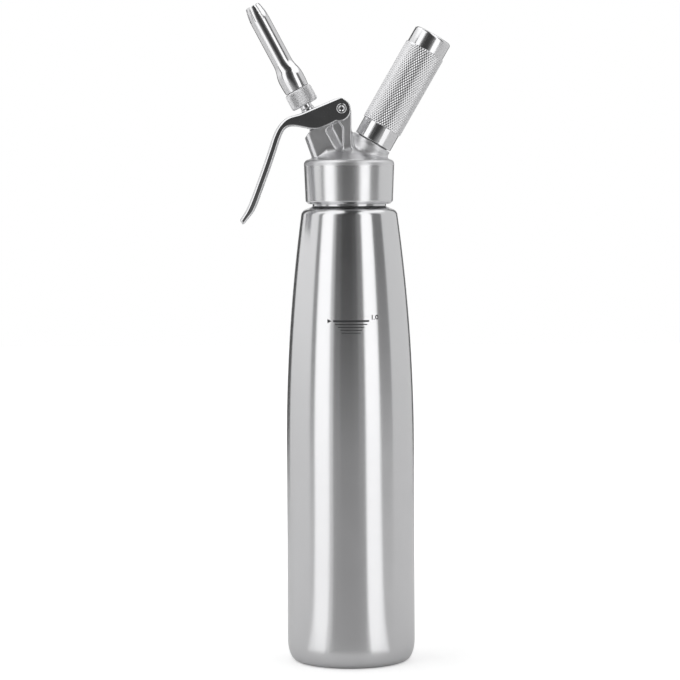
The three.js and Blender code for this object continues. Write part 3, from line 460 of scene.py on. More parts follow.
def net(distance, low, high, cell):
    """Points, normals and quads where a distance is zero"""
    counts = [math.ceil((b - a) / cell) + 1 for a, b in zip(low, high)]
    values = grid_values(distance, low, counts, cell)
    inside = values < 0
    shape = [n - 1 for n in counts]

    def shifted(array, start):
        return array[tuple(slice(c, c + n) for c, n in zip(start, shape))]

    places, hits = np.zeros(shape + [3]), np.zeros(shape)
    for axis in range(3):
        one, two = [a for a in range(3) if a != axis]
        for pair in np.ndindex(2, 2):
            start = np.zeros(3, int)
            start[one], start[two] = pair
            end = start + np.eye(3, dtype=int)[axis]
            a, b = shifted(values, start), shifted(values, end)
            crossed = (a < 0) != (b < 0)
            share = np.where(crossed, a / np.where(crossed, a - b, 1), 0)
            hits += crossed
            for k in range(3):
                places[..., k] += crossed * (start[k] + (share if k == axis else 0))
    used = hits > 0
    ids = np.full(shape, -1)
    ids[used] = np.arange(used.sum())
    points = np.array(low) + (np.argwhere(used) + places[used] / hits[used][:, None]) * cell
    quads = []
    for axis in range(3):
        b, c = (axis + 1) % 3, (axis + 2) % 3
        first = np.take(inside, range(shape[axis]), axis=axis)
        second = np.take(inside, range(1, shape[axis] + 1), axis=axis)
        for leaving, order in ((first & ~second, 1), (~first & second, -1)):
            cells = np.argwhere(leaving)
            ring = []
            for db, dc in ((-1, -1), (0, -1), (0, 0), (-1, 0)):
                at = cells.copy()
                at[:, b] += db
                at[:, c] += dc
                ring.append(ids[tuple(at.T)])
            quads.append(np.array(ring[::order]).T)
    for _ in range(SLIDES):
        way = slope_of(distance, points)
        steep = np.maximum((way ** 2).sum(1), LEAST_STEEPNESS)
        move = np.clip(distance(*points.T) / steep, -cell / 2, cell / 2)
        points = points - way * move[:, None]
    normals = slope_of(distance, points)
    normals /= np.maximum(np.linalg.norm(normals, axis=1), TINY)[:, None]
    return points, normals, np.concatenate(quads)


def netted(name, distance, box, cell, body, slot, replaced, axes):
    """A piece netted from a distance, with its exact normals"""
    points, normals, quads = net(distance, *box, cell)
    piece = new_piece(name, points, quads.tolist(), body, slot, replaced, axes)
    piece.data.normals_split_custom_set_from_vertices(normals)
    print(name, len(quads), "quads")
    return piece


# %% [markdown]
# ## The head
# The head is cast in one: a turned collar with a low dome, the block that holds the
# valve, the tower that carries the lever, a thin web between them and the port for
# the charger. The valve block's left edge has two facets, its right edge a wide
# chamfer that ends in a round below a cap. The collar is bevelled at its bottom,
# where the real one leaves its chuck. The bores are cut out at the end.
# %% The collar's outline
COLLAR_RADIUS, COLLAR_FLARE, COLLAR_HEIGHT = 27.25, 1.0, 23.5
COLLAR_ROUND, COLLAR_LIP, COLLAR_LIP_HEIGHT = 3.2, 1.8, 1.6
COLLAR_LIP_ROUND = 1.2
DOME_TOP, DOME_SHOULDER = 33.3, 28.2
DOME_BEND_RADIUS, DOME_BEND_DROP, DOME_ROUND = 12, 1.0, 20
COLLAR_OUTLINE = about_axis([
    (0, 0),
    (COLLAR_RADIUS - COLLAR_LIP, 0, EASED),
    (COLLAR_RADIUS, COLLAR_LIP_HEIGHT, COLLAR_LIP_ROUND),
    (COLLAR_RADIUS + COLLAR_FLARE, COLLAR_HEIGHT + COLLAR_ROUND, COLLAR_ROUND),
    (COLLAR_RADIUS - COLLAR_ROUND, DOME_SHOULDER, COLLAR_ROUND),
    (DOME_BEND_RADIUS, DOME_TOP - DOME_BEND_DROP, DOME_ROUND),
    (0, DOME_TOP),
])

print("the collar's outline has", len(COLLAR_OUTLINE), "points")

# %% [markdown]
# The block is an outline in the valve's own axes, given a thickness. A facet or the
# chamfer is a plane beyond which everything is cut, so it needs only its lean and
# how far in it lies.
# %% The valve block
BLOCK_HALF_WIDTH, BLOCK_TOP, BLOCK_ROOT = 10.0, 41.8, 10.8
BLOCK_LEFT, BLOCK_LEFT_ROOT, BLOCK_RIGHT = -10.1, -14.4, 8.0
BLOCK_SHOULDER, BLOCK_ROUND = 39.4, 0.8
BLOCK_OUTLINE = rounded([
    (BLOCK_LEFT_ROOT, BLOCK_ROOT),
    (BLOCK_RIGHT, BLOCK_ROOT),
    (BLOCK_RIGHT, BLOCK_TOP, BLOCK_ROUND),
    (BLOCK_LEFT / 2, BLOCK_TOP, BLOCK_ROUND),
    (BLOCK_LEFT, BLOCK_SHOULDER, BLOCK_ROUND),
])
LEFT_SLANT = math.atan2(BLOCK_LEFT - BLOCK_LEFT_ROOT, BLOCK_SHOULDER - BLOCK_ROOT)
FACETS = [(math.radians(27), 3.4, 10.0), (math.radians(76), 1.5, 9.1)]
CHAMFER_START, CHAMFER_END, WEB_HALF_WIDTH = 3.4, 8.0, 5.8
CHAMFER_TOP, CHAMFER_ROUND = 38.3, 2.2
CAP_RIGHT, CAP_BOTTOM = 11.4, 39.0
CAP_INSET, CAP_EDGE, CAP_FILLET = 0.6, 1.0, 1.2


def block_distance(side, y, along):
    """The valve block, in the valve's axes: side, across and along"""
    wide = np.abs(y)
    body = slab(outline_distance(side, along, BLOCK_OUTLINE), wide - BLOCK_HALF_WIDTH, ROUNDED)
    outward = -((side - BLOCK_LEFT) * math.cos(LEFT_SLANT)
                - (along - BLOCK_SHOULDER) * math.sin(LEFT_SLANT))
    for lean, inset, half in FACETS:
        facet = math.sin(lean) * (outward + inset) + math.cos(lean) * (wide - half)
        body = carve(body, -facet, EASED)
    run, drop = CHAMFER_END - CHAMFER_START, BLOCK_HALF_WIDTH - WEB_HALF_WIDTH
    chamfer = (side - CHAMFER_START) * drop + (wide - BLOCK_HALF_WIDTH) * run
    chamfer = -blend(chamfer / math.hypot(run, drop), CHAMFER_TOP - along, CHAMFER_ROUND)
    body = carve(body, chamfer, ROUNDED)
    cap_side = np.abs(side - CAP_RIGHT / 2) - CAP_RIGHT / 2
    cap_along = np.abs(along - (CAP_BOTTOM + BLOCK_TOP) / 2) - (BLOCK_TOP - CAP_BOTTOM) / 2
    cap_wide = wide - BLOCK_HALF_WIDTH + CAP_INSET
    cap = slab(np.maximum(cap_side, cap_along), cap_wide, CAP_EDGE)
    return blend(body, cap, CAP_FILLET)


# %% [markdown]
# The tower is a plate on edge whose top is round about the lever's pin, with a foot
# that curves out into the port. The web behind it is thinner, so both the tower and
# the block stand proud of it and it shows as a dark recess between them.
# %% The tower, the web and the port
TOWER_RIGHT, TOWER_LEFT, TOWER_CROWN, TOWER_ROOT = 1.5, -3.6, 4.6, 22
TOWER_FLAT_DROP, TOWER_LEG_DROP, TOWER_EDGE = 1.2, 11.6, 0.6
TOWER_NOTCH_IN, TOWER_NOTCH_DROP = 2.3, 7
ARC_POINTS = 14
tower_arc = [(PIVOT.x + TOWER_CROWN * math.cos(a), PIVOT.z + TOWER_CROWN * math.sin(a))
             for a in np.linspace(math.radians(20), math.pi, ARC_POINTS)]
TOWER_OUTLINE = [
    (TOWER_RIGHT, TOWER_ROOT), (TOWER_RIGHT, PIVOT.z - TOWER_FLAT_DROP), *tower_arc,
    (PIVOT.x - TOWER_NOTCH_IN, PIVOT.z - TOWER_NOTCH_DROP),
    (TOWER_LEFT, PIVOT.z - TOWER_LEG_DROP), (TOWER_LEFT, TOWER_ROOT),
]
WEB_OUTLINE = [(-5.1, 20.3), (0.9, 10.8), (0.9, 53.2), (-9.1, 57.8), (-16.1, 49.6)]
WEB_FILLET, PORT_FILLET = 0.9, 4.5
FILLET_X, FILLET_REACH = (-19.0, -13.5, 2.0, 9.0), (0.8, 5.0, 5.0, 2.5)
PORT_RADIUS, PORT_RIM, PORT_WAIST_RADIUS, PORT_WAIST = 12.4, 29.2, 11.3, 21.5
PORT_SPREAD, PORT_LAND, PORT_LAND_ROUND, WAIST_ROUND = 0.8, 2.6, 2, 9
STUB_RADIUS, STUB_HEIGHT, STUB_ROUND = 9.7, 9.0, 0.6
PORT_OUTLINE = about_axis([
    (0, 0), (PORT_WAIST_RADIUS + PORT_SPREAD, 0), (PORT_WAIST_RADIUS, PORT_WAIST, WAIST_ROUND),
    (PORT_RADIUS, PORT_RIM - PORT_LAND, PORT_LAND_ROUND), (PORT_RADIUS, PORT_RIM, ROUNDED),
    (STUB_RADIUS, PORT_RIM, SOFTENED), (STUB_RADIUS, PORT_RIM + STUB_HEIGHT, STUB_ROUND),
    (0, PORT_RIM + STUB_HEIGHT),
])


def head_outside(x, y, z):
    """The head's outside without its bores"""
    side, _, along = along_axes(VALVE_AXES, x, y, z)
    port_x, _, port_z = along_axes(PORT_AXES, x, y, z)
    wide = np.abs(y)
    collar = outline_distance(np.hypot(x, y), z, COLLAR_OUTLINE)
    block = block_distance(side, y, along)
    tower = slab(outline_distance(x, z, TOWER_OUTLINE), wide - BLOCK_HALF_WIDTH, TOWER_EDGE)
    web = slab(outline_distance(x, z, WEB_OUTLINE), wide - WEB_HALF_WIDTH, EASED)
    port = outline_distance(np.hypot(port_x, y), port_z, PORT_OUTLINE)
    left, right = blend(block, web, WEB_FILLET), blend(tower, port, PORT_FILLET)
    standing = blend(left, right, WEB_FILLET)
    foot = np.interp(x, FILLET_X, FILLET_REACH)
    return blend(standing, collar, foot)


# %% [markdown]
# Inside, the collar's bore takes the neck and its gasket, one stepped bore runs
# down the valve's axis and another down the port's, and both open into the cavity
# under the dome.
# %% The head's bores
GASKET_CEILING, CAVITY_TOP, CAVITY_RADIUS, CAVITY_TOP_RADIUS = 13.3, 20.7, 19.8, 15.0
COLLAR_BORE = NECK_RADIUS + NECK_THREAD["depth"] + SCREW_CLEARANCE
COLLAR_BORE_CHAMFER, CAVITY_ROUND = 0.5, 2
COLLAR_BORE_OUTLINE = about_axis([
    (0, -BEYOND), (COLLAR_BORE + COLLAR_BORE_CHAMFER + BEYOND, -BEYOND),
    (COLLAR_BORE, COLLAR_BORE_CHAMFER),
    (COLLAR_BORE, GASKET_CEILING), (CAVITY_RADIUS, GASKET_CEILING),
    (CAVITY_TOP_RADIUS, CAVITY_TOP, CAVITY_ROUND), (0, CAVITY_TOP),
])
VALVE_CHAMBER, GUIDE_BORE, VALVE_BORE = 5.5, 3.8, 6.2
VALVE_SEAT, VALVE_BORE_FLOOR = 14.0, 20.0
VALVE_BORE_OUTLINE = about_axis([
    (0, 0), (VALVE_CHAMBER, 0), (VALVE_CHAMBER, VALVE_SEAT), (GUIDE_BORE, VALVE_SEAT),
    (GUIDE_BORE, VALVE_BORE_FLOOR), (VALVE_BORE, VALVE_BORE_FLOOR),
    (VALVE_BORE, BEYOND), (0, BEYOND),
])
GAS_CHAMBER, SHANK_BORE, STUB_BORE = 5.2, 3.3, 7.4
GAS_CHAMBER_TOP, PIERCER_FLOOR = 15.0, 26.6
GAS_BORE_OUTLINE = about_axis([
    (0, 0), (GAS_CHAMBER, 0), (GAS_CHAMBER, GAS_CHAMBER_TOP), (SHANK_BORE, GAS_CHAMBER_TOP),
    (SHANK_BORE, PIERCER_FLOOR), (STUB_BORE, PIERCER_FLOOR), (STUB_BORE, BEYOND), (0, BEYOND),
])
PIN_HOLE = 2.4

# %% [markdown]
# A thread is a ridge that is added to its wall's distance. The stub's ridge is kept
# to a band about the stub's wall, because the same height and angle also come up
# elsewhere on the head. The one cut for all the bores comes last, and breaks every
# edge that it leaves.
# %% Net the head with its threads
HEAD_CELL = 0.5
HEAD_BOX = ((-30.5, -30.5, -1), (33.5, 30.5, 66))
STUB_FOOT, STUB_INNER_MARGIN, STUB_OUTER_MARGIN = 0.5, 1, 2
stub_start = thread_start(PORT_RIM + STUB_HEIGHT, STUB_THREAD)
head_height = HEAD_AXES.translation.z / MM


def head_distance(x, y, z):
    """The whole head: its outside, less its bores, with its threads"""
    side, _, along = along_axes(VALVE_AXES, x, y, z)
    port_x, _, port_z = along_axes(PORT_AXES, x, y, z)
    radius, port_radius = np.hypot(x, y), np.hypot(port_x, y)
    climb = ridge(z, np.arctan2(y, x), *mating(neck_start - head_height, NECK_THREAD))
    bore = outline_distance(radius, z, COLLAR_BORE_OUTLINE)
    bore = bore + np.where(z < GASKET_CEILING, climb, 0)
    on_stub = (port_z > PORT_RIM + STUB_FOOT) & (port_z < PORT_RIM + STUB_HEIGHT)
    on_stub &= port_radius > STUB_BORE + STUB_INNER_MARGIN
    on_stub &= port_radius < STUB_RADIUS + STUB_OUTER_MARGIN
    stub_climb = ridge(port_z, np.arctan2(y, port_x), stub_start, STUB_THREAD)
    outside = head_outside(x, y, z) - np.where(on_stub, stub_climb, 0)
    bores = np.minimum(bore, outline_distance(np.hypot(side, y), along, VALVE_BORE_OUTLINE))
    bores = np.minimum(bores, outline_distance(port_radius, port_z, GAS_BORE_OUTLINE))
    bores = np.minimum(bores, np.hypot(x - PIVOT.x, z - PIVOT.z) - PIN_HOLE)
    return carve(outside, bores, SOFTENED)


netted("head_casting", head_distance, HEAD_BOX, HEAD_CELL, "head", "head_steel",
       ["head_body"], HEAD_AXES)

# %% [markdown]
# ## The lever
# The lever is one strip of sheet, pressed into a channel: a back that the palm lies
# on and two flanges that stiffen it and carry the pin. Sheet can't be folded to a
# sharp corner, so its back turns into the flanges round a bend. The bend is rounded
# against the back alone, and the flanges' free edges are then cut by the outline.
# %% The lever's outline
LEVER_SHEET, LEVER_BEND, LEVER_EDGE = 1.5, 2.2, 7.3
LEVER_SLOPE, LEVER_ARC_OFFSET = math.radians(22.6), 1.7
LEVER_REACH, LEVER_DROP = 63.2, 71.6
LEVER_INNER_WIDTH = 10.45
LEVER_ARC_START, LEVER_ARC_END = math.pi * 1.42, math.pi * 2.5 + LEVER_SLOPE
SPLINE_STEPS = 6
STRAIGHT_SHARES = [0.06, 0.12, 0.185]
HANDLE_SHARES = [
    (0.535, 0.075), (0.622, 0.146), (0.676, 0.235), (0.718, 0.345), (0.775, 0.49),
    (0.838, 0.642), (0.893, 0.77), (0.942, 0.87), (1.005, 0.958),
]
INNER_SHARES = [
    (0.974, 1), (0.918, 0.938), (0.872, 0.885), (0.83, 0.803), (0.785, 0.695), (0.72, 0.542),
    (0.658, 0.384), (0.612, 0.262), (0.58, 0.197), (0.549, 0.163), (0.51, 0.149), (0.457, 0.148),
    (0.38, 0.16), (0.303, 0.174), (0.217, 0.172), (0.115, 0.136),
]


def through(points, steps):
    """A smooth curve through points, with this many steps between two of them"""
    points = [np.array(p, float) for p in points]
    ends = [points[0], *points, points[-1]]
    curve = []
    for a, b, c, d in zip(ends, ends[1:], ends[2:], ends[3:]):
        for t in np.arange(steps) / steps:
            curve.append((2 * b + (c - a) * t + (2 * a - 5 * b + 4 * c - d) * t ** 2
                          + (3 * b - a - 3 * c + d) * t ** 3) / 2)
    return [tuple(p) for p in [*curve, points[-1]]]


def on_lever(shares):
    """Shares of the lever's reach and drop as points beside its pivot"""
    return [(PIVOT.x - LEVER_REACH * x, PIVOT.z - LEVER_DROP * z) for x, z in shares]


# %% [markdown]
# The lever's back starts straight, where it lies over the valve, and then runs in
# one smooth curve down the handle. Its free edge is a second curve through points
# of its own, and an arc about the pin joins the two.
# %% Draw the lever's curves
slope_x, slope_z = math.cos(LEVER_SLOPE), math.sin(LEVER_SLOPE)
back_start = (PIVOT.x - LEVER_EDGE * slope_z, PIVOT.z + LEVER_EDGE * slope_x)
straight = [(back_start[0] - share * (LEVER_REACH + LEVER_DROP) * slope_x,
             back_start[1] - share * (LEVER_REACH + LEVER_DROP) * slope_z)
            for share in STRAIGHT_SHARES]
back_curve = through(straight + on_lever(HANDLE_SHARES), SPLINE_STEPS)
inner_curve = through(on_lever(INNER_SHARES), SPLINE_STEPS)
arc_x, arc_z = PIVOT.x - LEVER_ARC_OFFSET * slope_x, PIVOT.z - LEVER_ARC_OFFSET * slope_z
pivot_arc = [(arc_x + LEVER_EDGE * math.cos(a), arc_z + LEVER_EDGE * math.sin(a))
             for a in np.linspace(LEVER_ARC_START, LEVER_ARC_END, 3 * ARC_POINTS)]
LEVER_OUTLINE = back_curve + inner_curve + pivot_arc
tip = back_curve[-1]
BACK_OUTLINE = [
    (back_start[0] + BEYOND * slope_x, back_start[1] + BEYOND * slope_z),
    *back_curve, (tip[0], tip[1] - BEYOND), (PIVOT.x + BEYOND, tip[1] - BEYOND),
]
print("the handle's tip is", [round(c, 1) for c in tip], "mm from the head's foot")

# %% [markdown]
# The back is cut away over the tower, so that only the two flanges pass it, and it
# has a slot through which the valve's stem rises to the nozzle.
# %% Net the lever
SLOT_HALF_WIDTH, SLOT_REACH = 4.7, 2.6
SLOT_ALONG = (39.2, 61.0)
OVER_TOWER_HALF_WIDTH = 10.15
RIM_ROUND, CUT_ROUND = 0.8, 0.6
LEVER_CELL = 0.34
LEVER_BOX = ((-69.5, -12.7, -14.5), (5.2, 12.7, 68.5))


def lever_distance(x, y, z):
    """The lever at rest, in the head's frame"""
    side, _, along = along_axes(VALVE_AXES, x, y, z)
    wide = np.abs(y)
    back = outline_distance(x, z, BACK_OUTLINE)
    whole = slab(back, wide - LEVER_INNER_WIDTH - LEVER_SHEET, LEVER_BEND)
    whole = carve(whole, -outline_distance(x, z, LEVER_OUTLINE), RIM_ROUND)
    hollow = slab(back + LEVER_SHEET, wide - LEVER_INNER_WIDTH, LEVER_BEND - LEVER_SHEET)
    tower_side = np.maximum(PIVOT.x - LEVER_EDGE / 2 - x, PIVOT.z - LEVER_EDGE - z)
    hollow = np.minimum(hollow, np.maximum(tower_side, wide - OVER_TOWER_HALF_WIDTH))
    slot = np.hypot(np.maximum(np.abs(side) - SLOT_REACH, 0), y) - SLOT_HALF_WIDTH
    slot = np.maximum(slot, np.maximum(SLOT_ALONG[0] - along, along - SLOT_ALONG[1]))
    hole = np.hypot(x - PIVOT.x, z - PIVOT.z) - PIN_HOLE
    return carve(whole, np.minimum(np.minimum(hollow, slot), hole), CUT_ROUND)


netted("lever_channel", lever_distance, LEVER_BOX, LEVER_CELL, "lever", "polished_steel",
       ["lever"], HEAD_AXES)

# %% [markdown]
# ## The decorating nozzle
# The nozzle is a thin tube with a bulb at its foot and a mouth that closes like a
# tulip, sawn by slits that turn the cream into a star. The slits end in a round,
# as a slitting saw leaves them, so they are cut with a distance as the head is. The
# nozzle's own distance needs no outline: how far a point is from a turned wall
# follows from the wall's radius and slope at the point's height.
# %% The nozzle's curves
RING_BOTTOM, RING_TOP, RING_RADIUS = span("adapter_ring", VALVE_AXES)
FLANGE_BOTTOM, MOUTH_TOP, _ = span("decorator_nozzle", VALVE_AXES)
STEM_BORE, NOZZLE_WALL = 2.1, 0.9
BULB_BOTTOM = RING_TOP + SCREW_CLEARANCE
MOUTH_RADIUS, MOUTH_SLITS, SLIT_HALF_WIDTH, SLIT_LENGTH = 4.5, 8, 0.55, 10.2
TUBE_RADIUS, MOUTH_START, FLANGE_RADIUS = 6.15, MOUTH_TOP - 10.4, 7.0
BULB_STATIONS = [
    (0, 7.7), (2.7, 7.95), (6.1, 8.1), (9.2, 8.04), (12.0, 7.6), (14.6, 6.82), (17.0, 6.32),
    (19.5, TUBE_RADIUS), (22.0, TUBE_RADIUS),
]
STATION_STEPS, MOUTH_STEPS = 16, 30
outer_curve = through([(BULB_BOTTOM + z, r) for z, r in BULB_STATIONS], STATION_STEPS)
outer_curve += [(MOUTH_START + (MOUTH_TOP - MOUTH_START) * share,
                 TUBE_RADIUS - (TUBE_RADIUS - MOUTH_RADIUS) * share ** 2)
                for share in np.linspace(0, 1, MOUTH_STEPS)]
HOLLOW_RADIUS, HOLLOW_START, HOLLOW_RISE = 6.2, 4, 7.0
bore_curve = [(FLANGE_BOTTOM, STEM_BORE), (BULB_BOTTOM, STEM_BORE),
              (BULB_BOTTOM + HOLLOW_START, HOLLOW_RADIUS)]
bore_curve += [(z, r - NOZZLE_WALL) for z, r in outer_curve if z > BULB_BOTTOM + HOLLOW_RISE]
print("the nozzle stands", round(MOUTH_TOP - FLANGE_BOTTOM, 1), "mm tall")

# %% Net the nozzle
FLANGE_OVERLAP = 1
NOZZLE_CELL = 0.33
NOZZLE_BOX = ((-8.8, -8.8, FLANGE_BOTTOM - 1), (8.8, 8.8, MOUTH_TOP + 1))


def off_curve(r, z, curve):
    """How far outside a turned curve a point is, from the curve's radius at its height"""
    heights, radii = np.array(curve).T
    slope = np.gradient(radii, heights + TINY * np.arange(len(heights)))
    away = r - np.interp(z, heights, radii)
    return away / np.hypot(1, np.interp(z, heights, slope))


def nozzle_distance(x, y, z):
    """The nozzle, in the valve's axes"""
    radius = np.hypot(x, y)
    bulb = np.maximum(off_curve(radius, z, outer_curve), BULB_BOTTOM - z)
    flange = np.maximum(radius - FLANGE_RADIUS, z - BULB_BOTTOM - FLANGE_OVERLAP)
    body = carve(np.minimum(bulb, flange), MOUTH_TOP - z, SOFTENED)
    body = np.maximum(body, FLANGE_BOTTOM - z)
    body = np.maximum(body, -off_curve(radius, z, bore_curve))
    slit_end = np.minimum(z - MOUTH_TOP + SLIT_LENGTH - SLIT_HALF_WIDTH, 0)
    for i in range(MOUTH_SLITS // 2):
        angle = 2 * math.pi * (i + 0.5) / MOUTH_SLITS
        off = y * math.cos(angle) - x * math.sin(angle)
        body = carve(body, np.hypot(off, slit_end) - SLIT_HALF_WIDTH, BROKEN)
    return body


netted("decorating_nozzle", nozzle_distance, NOZZLE_BOX, NOZZLE_CELL, "nozzle",
       "polished_steel", ["decorator_nozzle"], VALVE_AXES)

# %% [markdown]
# ## The adapter ring
# The ring that clamps the nozzle is turned, left matt, and has fine serrations for
# the fingers. They are cut into its wall as small V grooves that fade out at the
# chamfers, where the real cutter runs out.
# %% Spin the adapter ring
RING_EDGE, SERRATIONS, SERRATION_DEPTH, POINTS_PER_SERRATION = 0.9, 72, 0.24, 6
RING_BORE, RING_RECESS = 4.7, 7.3
RECESS_DROP, RING_ROW = 1.35, 2
RECESS_FLOOR = FLANGE_BOTTOM - RECESS_DROP


def serrations(r, z, angle):
    """V grooves along the ring's wall"""
    phase = np.abs((angle * SERRATIONS / (2 * math.pi)) % 1 - 0.5) * 2
    return np.where(r > RING_RADIUS - TINY, -SERRATION_DEPTH * phase, 0)


turned("serrated_ring", [
    (RING_BORE, RING_BOTTOM, EASED), (RING_RADIUS - RING_EDGE, RING_BOTTOM, EASED),
    (RING_RADIUS - EASED, RING_BOTTOM + RING_EDGE - EASED),
    *rows(RING_RADIUS, RING_BOTTOM + RING_EDGE, RING_TOP - RING_EDGE, RING_ROW),
    (RING_RADIUS - EASED, RING_TOP - RING_EDGE + EASED),
    (RING_RADIUS - RING_EDGE, RING_TOP, EASED), (RING_RECESS, RING_TOP, BROKEN),
    (RING_RECESS, RECESS_FLOOR), (RING_BORE, RECESS_FLOOR),
], "nozzle", "matt_steel", ["adapter_ring"], VALVE_AXES,
    segments=SERRATIONS * POINTS_PER_SERRATION, relief=serrations)

# %% [markdown]
# ## The charger holder
# The holder is a sleeve with a diamond knurl, rolled into it by two wheels whose
# lines cross. Each wheel presses one set of slanting grooves, and the metal between
# is left as small pyramids with nearly sharp tops. The relief is the deeper of the
# two sets at each point. The rows of points are as far apart as the lines rise
# between two columns, so that each groove runs exactly through the net's points:
# off that lattice its depth would waver from place to place.
# %% Spin the charger holder
HOLDER_BOTTOM, HOLDER_TOP, KNURL_RADIUS = span("charger_holder", PORT_AXES)
HOLDER_END_RADIUS, HOLDER_BORE, HOLDER_CAVITY = 12.35, 10.8, 9.9
SMOOTH_FOOT, SMOOTH_HEAD = 11, 10.8
KNURL_BOTTOM, KNURL_TOP = HOLDER_BOTTOM + SMOOTH_FOOT, HOLDER_TOP - SMOOTH_HEAD
KNURL_LINES, KNURL_DEPTH, KNURL_FLANK_SHARE, KNURL_SLANT = 54, 0.36, 0.9, math.radians(30)
POINTS_PER_LINE = 6
KNURL_RISE = 2 * math.pi * KNURL_RADIUS / KNURL_LINES / math.tan(KNURL_SLANT)
KNURL_STEP = KNURL_RISE / POINTS_PER_LINE
KNURL_LAND, KNURL_BEVEL = 0.5, 0.2
KNURL_ROWS = int((KNURL_TOP - KNURL_BOTTOM - 2 * KNURL_LAND) / KNURL_STEP)
HOLDER_THREAD_TOP = PORT_RIM + STUB_HEIGHT + SCREW_CLEARANCE
HOLDER_TOP_WALL, HOLDER_TOP_ROUND, CAVITY_TOP_ROUND = 2.4, 1.8, 4


def groove(turns):
    """How deep one set of slanting grooves is, from 0 on a flat to 1 in a groove"""
    off = np.abs(turns % 1 - 0.5) * 2
    return np.clip((off - 1 + KNURL_FLANK_SHARE) / KNURL_FLANK_SHARE, 0, 1)


def holder_relief(r, z, angle):
    """The knurl outside and the thread inside"""
    around = angle * KNURL_LINES / (2 * math.pi)
    up = (z - KNURL_BOTTOM - KNURL_LAND) / KNURL_RISE
    knurl = -KNURL_DEPTH * np.maximum(groove(around + up), groove(around - up))
    thread = -ridge(z, angle, *mating(stub_start, STUB_THREAD))
    on_knurl = np.abs(r - KNURL_RADIUS) < TINY
    return np.where(on_knurl, knurl, np.where(np.abs(r - HOLDER_BORE) < TINY, thread, 0))


cavity_top = HOLDER_TOP - HOLDER_TOP_WALL
turned("knurled_holder", [
    (HOLDER_BORE + EASED, HOLDER_BOTTOM), (HOLDER_END_RADIUS, HOLDER_BOTTOM, SOFTENED),
    (HOLDER_END_RADIUS, KNURL_BOTTOM), (KNURL_RADIUS - KNURL_DEPTH, KNURL_BOTTOM + KNURL_BEVEL),
    *[(KNURL_RADIUS, KNURL_BOTTOM + KNURL_LAND + KNURL_STEP * i) for i in range(KNURL_ROWS + 1)],
    (KNURL_RADIUS - KNURL_DEPTH, KNURL_TOP - KNURL_BEVEL), (HOLDER_END_RADIUS, KNURL_TOP),
    (HOLDER_END_RADIUS, HOLDER_TOP, HOLDER_TOP_ROUND), (0, HOLDER_TOP), (0, cavity_top),
    (HOLDER_CAVITY, cavity_top, CAVITY_TOP_ROUND), (HOLDER_CAVITY, HOLDER_THREAD_TOP + 1),
    *rows(HOLDER_BORE, HOLDER_THREAD_TOP, HOLDER_BOTTOM + SOFTENED, THREAD_STEP),
], "charger_holder", "knurled_steel", ["charger_holder"], PORT_AXES,
    segments=KNURL_LINES * POINTS_PER_LINE, relief=holder_relief)
print("the knurl has", KNURL_ROWS, "rows of points")

# %% [markdown]
# ## The lever's pin
# The pin is turned with a shallow recess in its head, and a groove near its other
# end takes a spring clip. The clip and the nut under the valve's seal are so small
# and plain that their solids are kept, and a bevel modifier breaks the sharp edges.
# %% Turn the pin and bevel the small solids
PIVOT_AXES = HEAD_AXES @ Matrix.Translation(PIVOT * MM) @ Matrix.Rotation(math.pi / 2, 4, "X")
PIN_BOTTOM, PIN_TOP, PIN_HEAD = span("pivot_pin", PIVOT_AXES)
PIN_RADIUS, PIN_NECK, PIN_UNDER_HEAD, PIN_RECESS = 2.2, 1.6, 12.25, 1.9
PIN_GROOVE_END, PIN_HEAD_ROUND = 13.35, 0.9
PIN_RECESS_DEPTH, PIN_RECESS_SLANT = 0.6, 0.7
SMALL_BEVEL = 0.25 * MM
turned("lever_pin", [
    (0, PIN_BOTTOM), (PIN_RADIUS, PIN_BOTTOM, SOFTENED),
    (PIN_RADIUS, -PIN_GROOVE_END, DEBURRED), (PIN_NECK, -PIN_GROOVE_END),
    (PIN_NECK, -PIN_UNDER_HEAD), (PIN_RADIUS, -PIN_UNDER_HEAD, DEBURRED),
    (PIN_RADIUS, PIN_UNDER_HEAD), (PIN_HEAD, PIN_UNDER_HEAD, DEBURRED),
    (PIN_HEAD, PIN_TOP, PIN_HEAD_ROUND), (PIN_RECESS, PIN_TOP, ROUNDED),
    (PIN_RECESS - PIN_RECESS_SLANT, PIN_TOP - PIN_RECESS_DEPTH, EASED),
    (0, PIN_TOP - PIN_RECESS_DEPTH),
], "head", "polished_steel", ["pivot_pin"], PIVOT_AXES, segments=SMALL_SIDES)
for node in ("pivot_clip", "seal_nut"):
    bevel = frame["nodes"][node].modifiers.new("worn edges", "BEVEL")
    bevel.width, bevel.segments, bevel.limit_method = SMALL_BEVEL, 2, "ANGLE"

# %% [markdown]
# The stem is a hollow rod: gas and cream rise through its side hole, and a shoulder
# with a crowned top takes the push of the lever. It is netted, because the side
# hole crosses its wall, and its thread is added as on the head's stub.
# %% Net the valve's stem
STEM_BOTTOM, STEM_TOP, SHOULDER_OUTER = span("valve_stem", VALVE_AXES)
SPIGOT_RADIUS, SPIGOT_TOP, STEM_RADIUS, STEM_CORE = 2.7, 13.7, 3.5, 3.7
SHOULDER_BOTTOM, CROWN_EDGE, CROWN_TOP, SHANK_RADIUS = 48.4, 50.8, 52.34, 4.2
CROWN_RADIUS, CROWN_RISE, CROWN_POINTS = 7.0, 5.6, 5
SHANK_TOP, STEM_THREAD_FOOT = 54.7, 55.6
STEM_BORE_FLOOR, SIDE_HOLE, SIDE_HOLE_RADIUS = 15.1, 16.4, 1.3
STEM_THREAD_START, STEM_THREAD_MARGIN, STEM_WALL_SHARE = 58.27, 1, 0.5
crown = [(math.sqrt(CROWN_RADIUS ** 2 - (z - CROWN_TOP + CROWN_RISE) ** 2), z)
         for z in np.linspace(CROWN_EDGE, CROWN_TOP, CROWN_POINTS)]
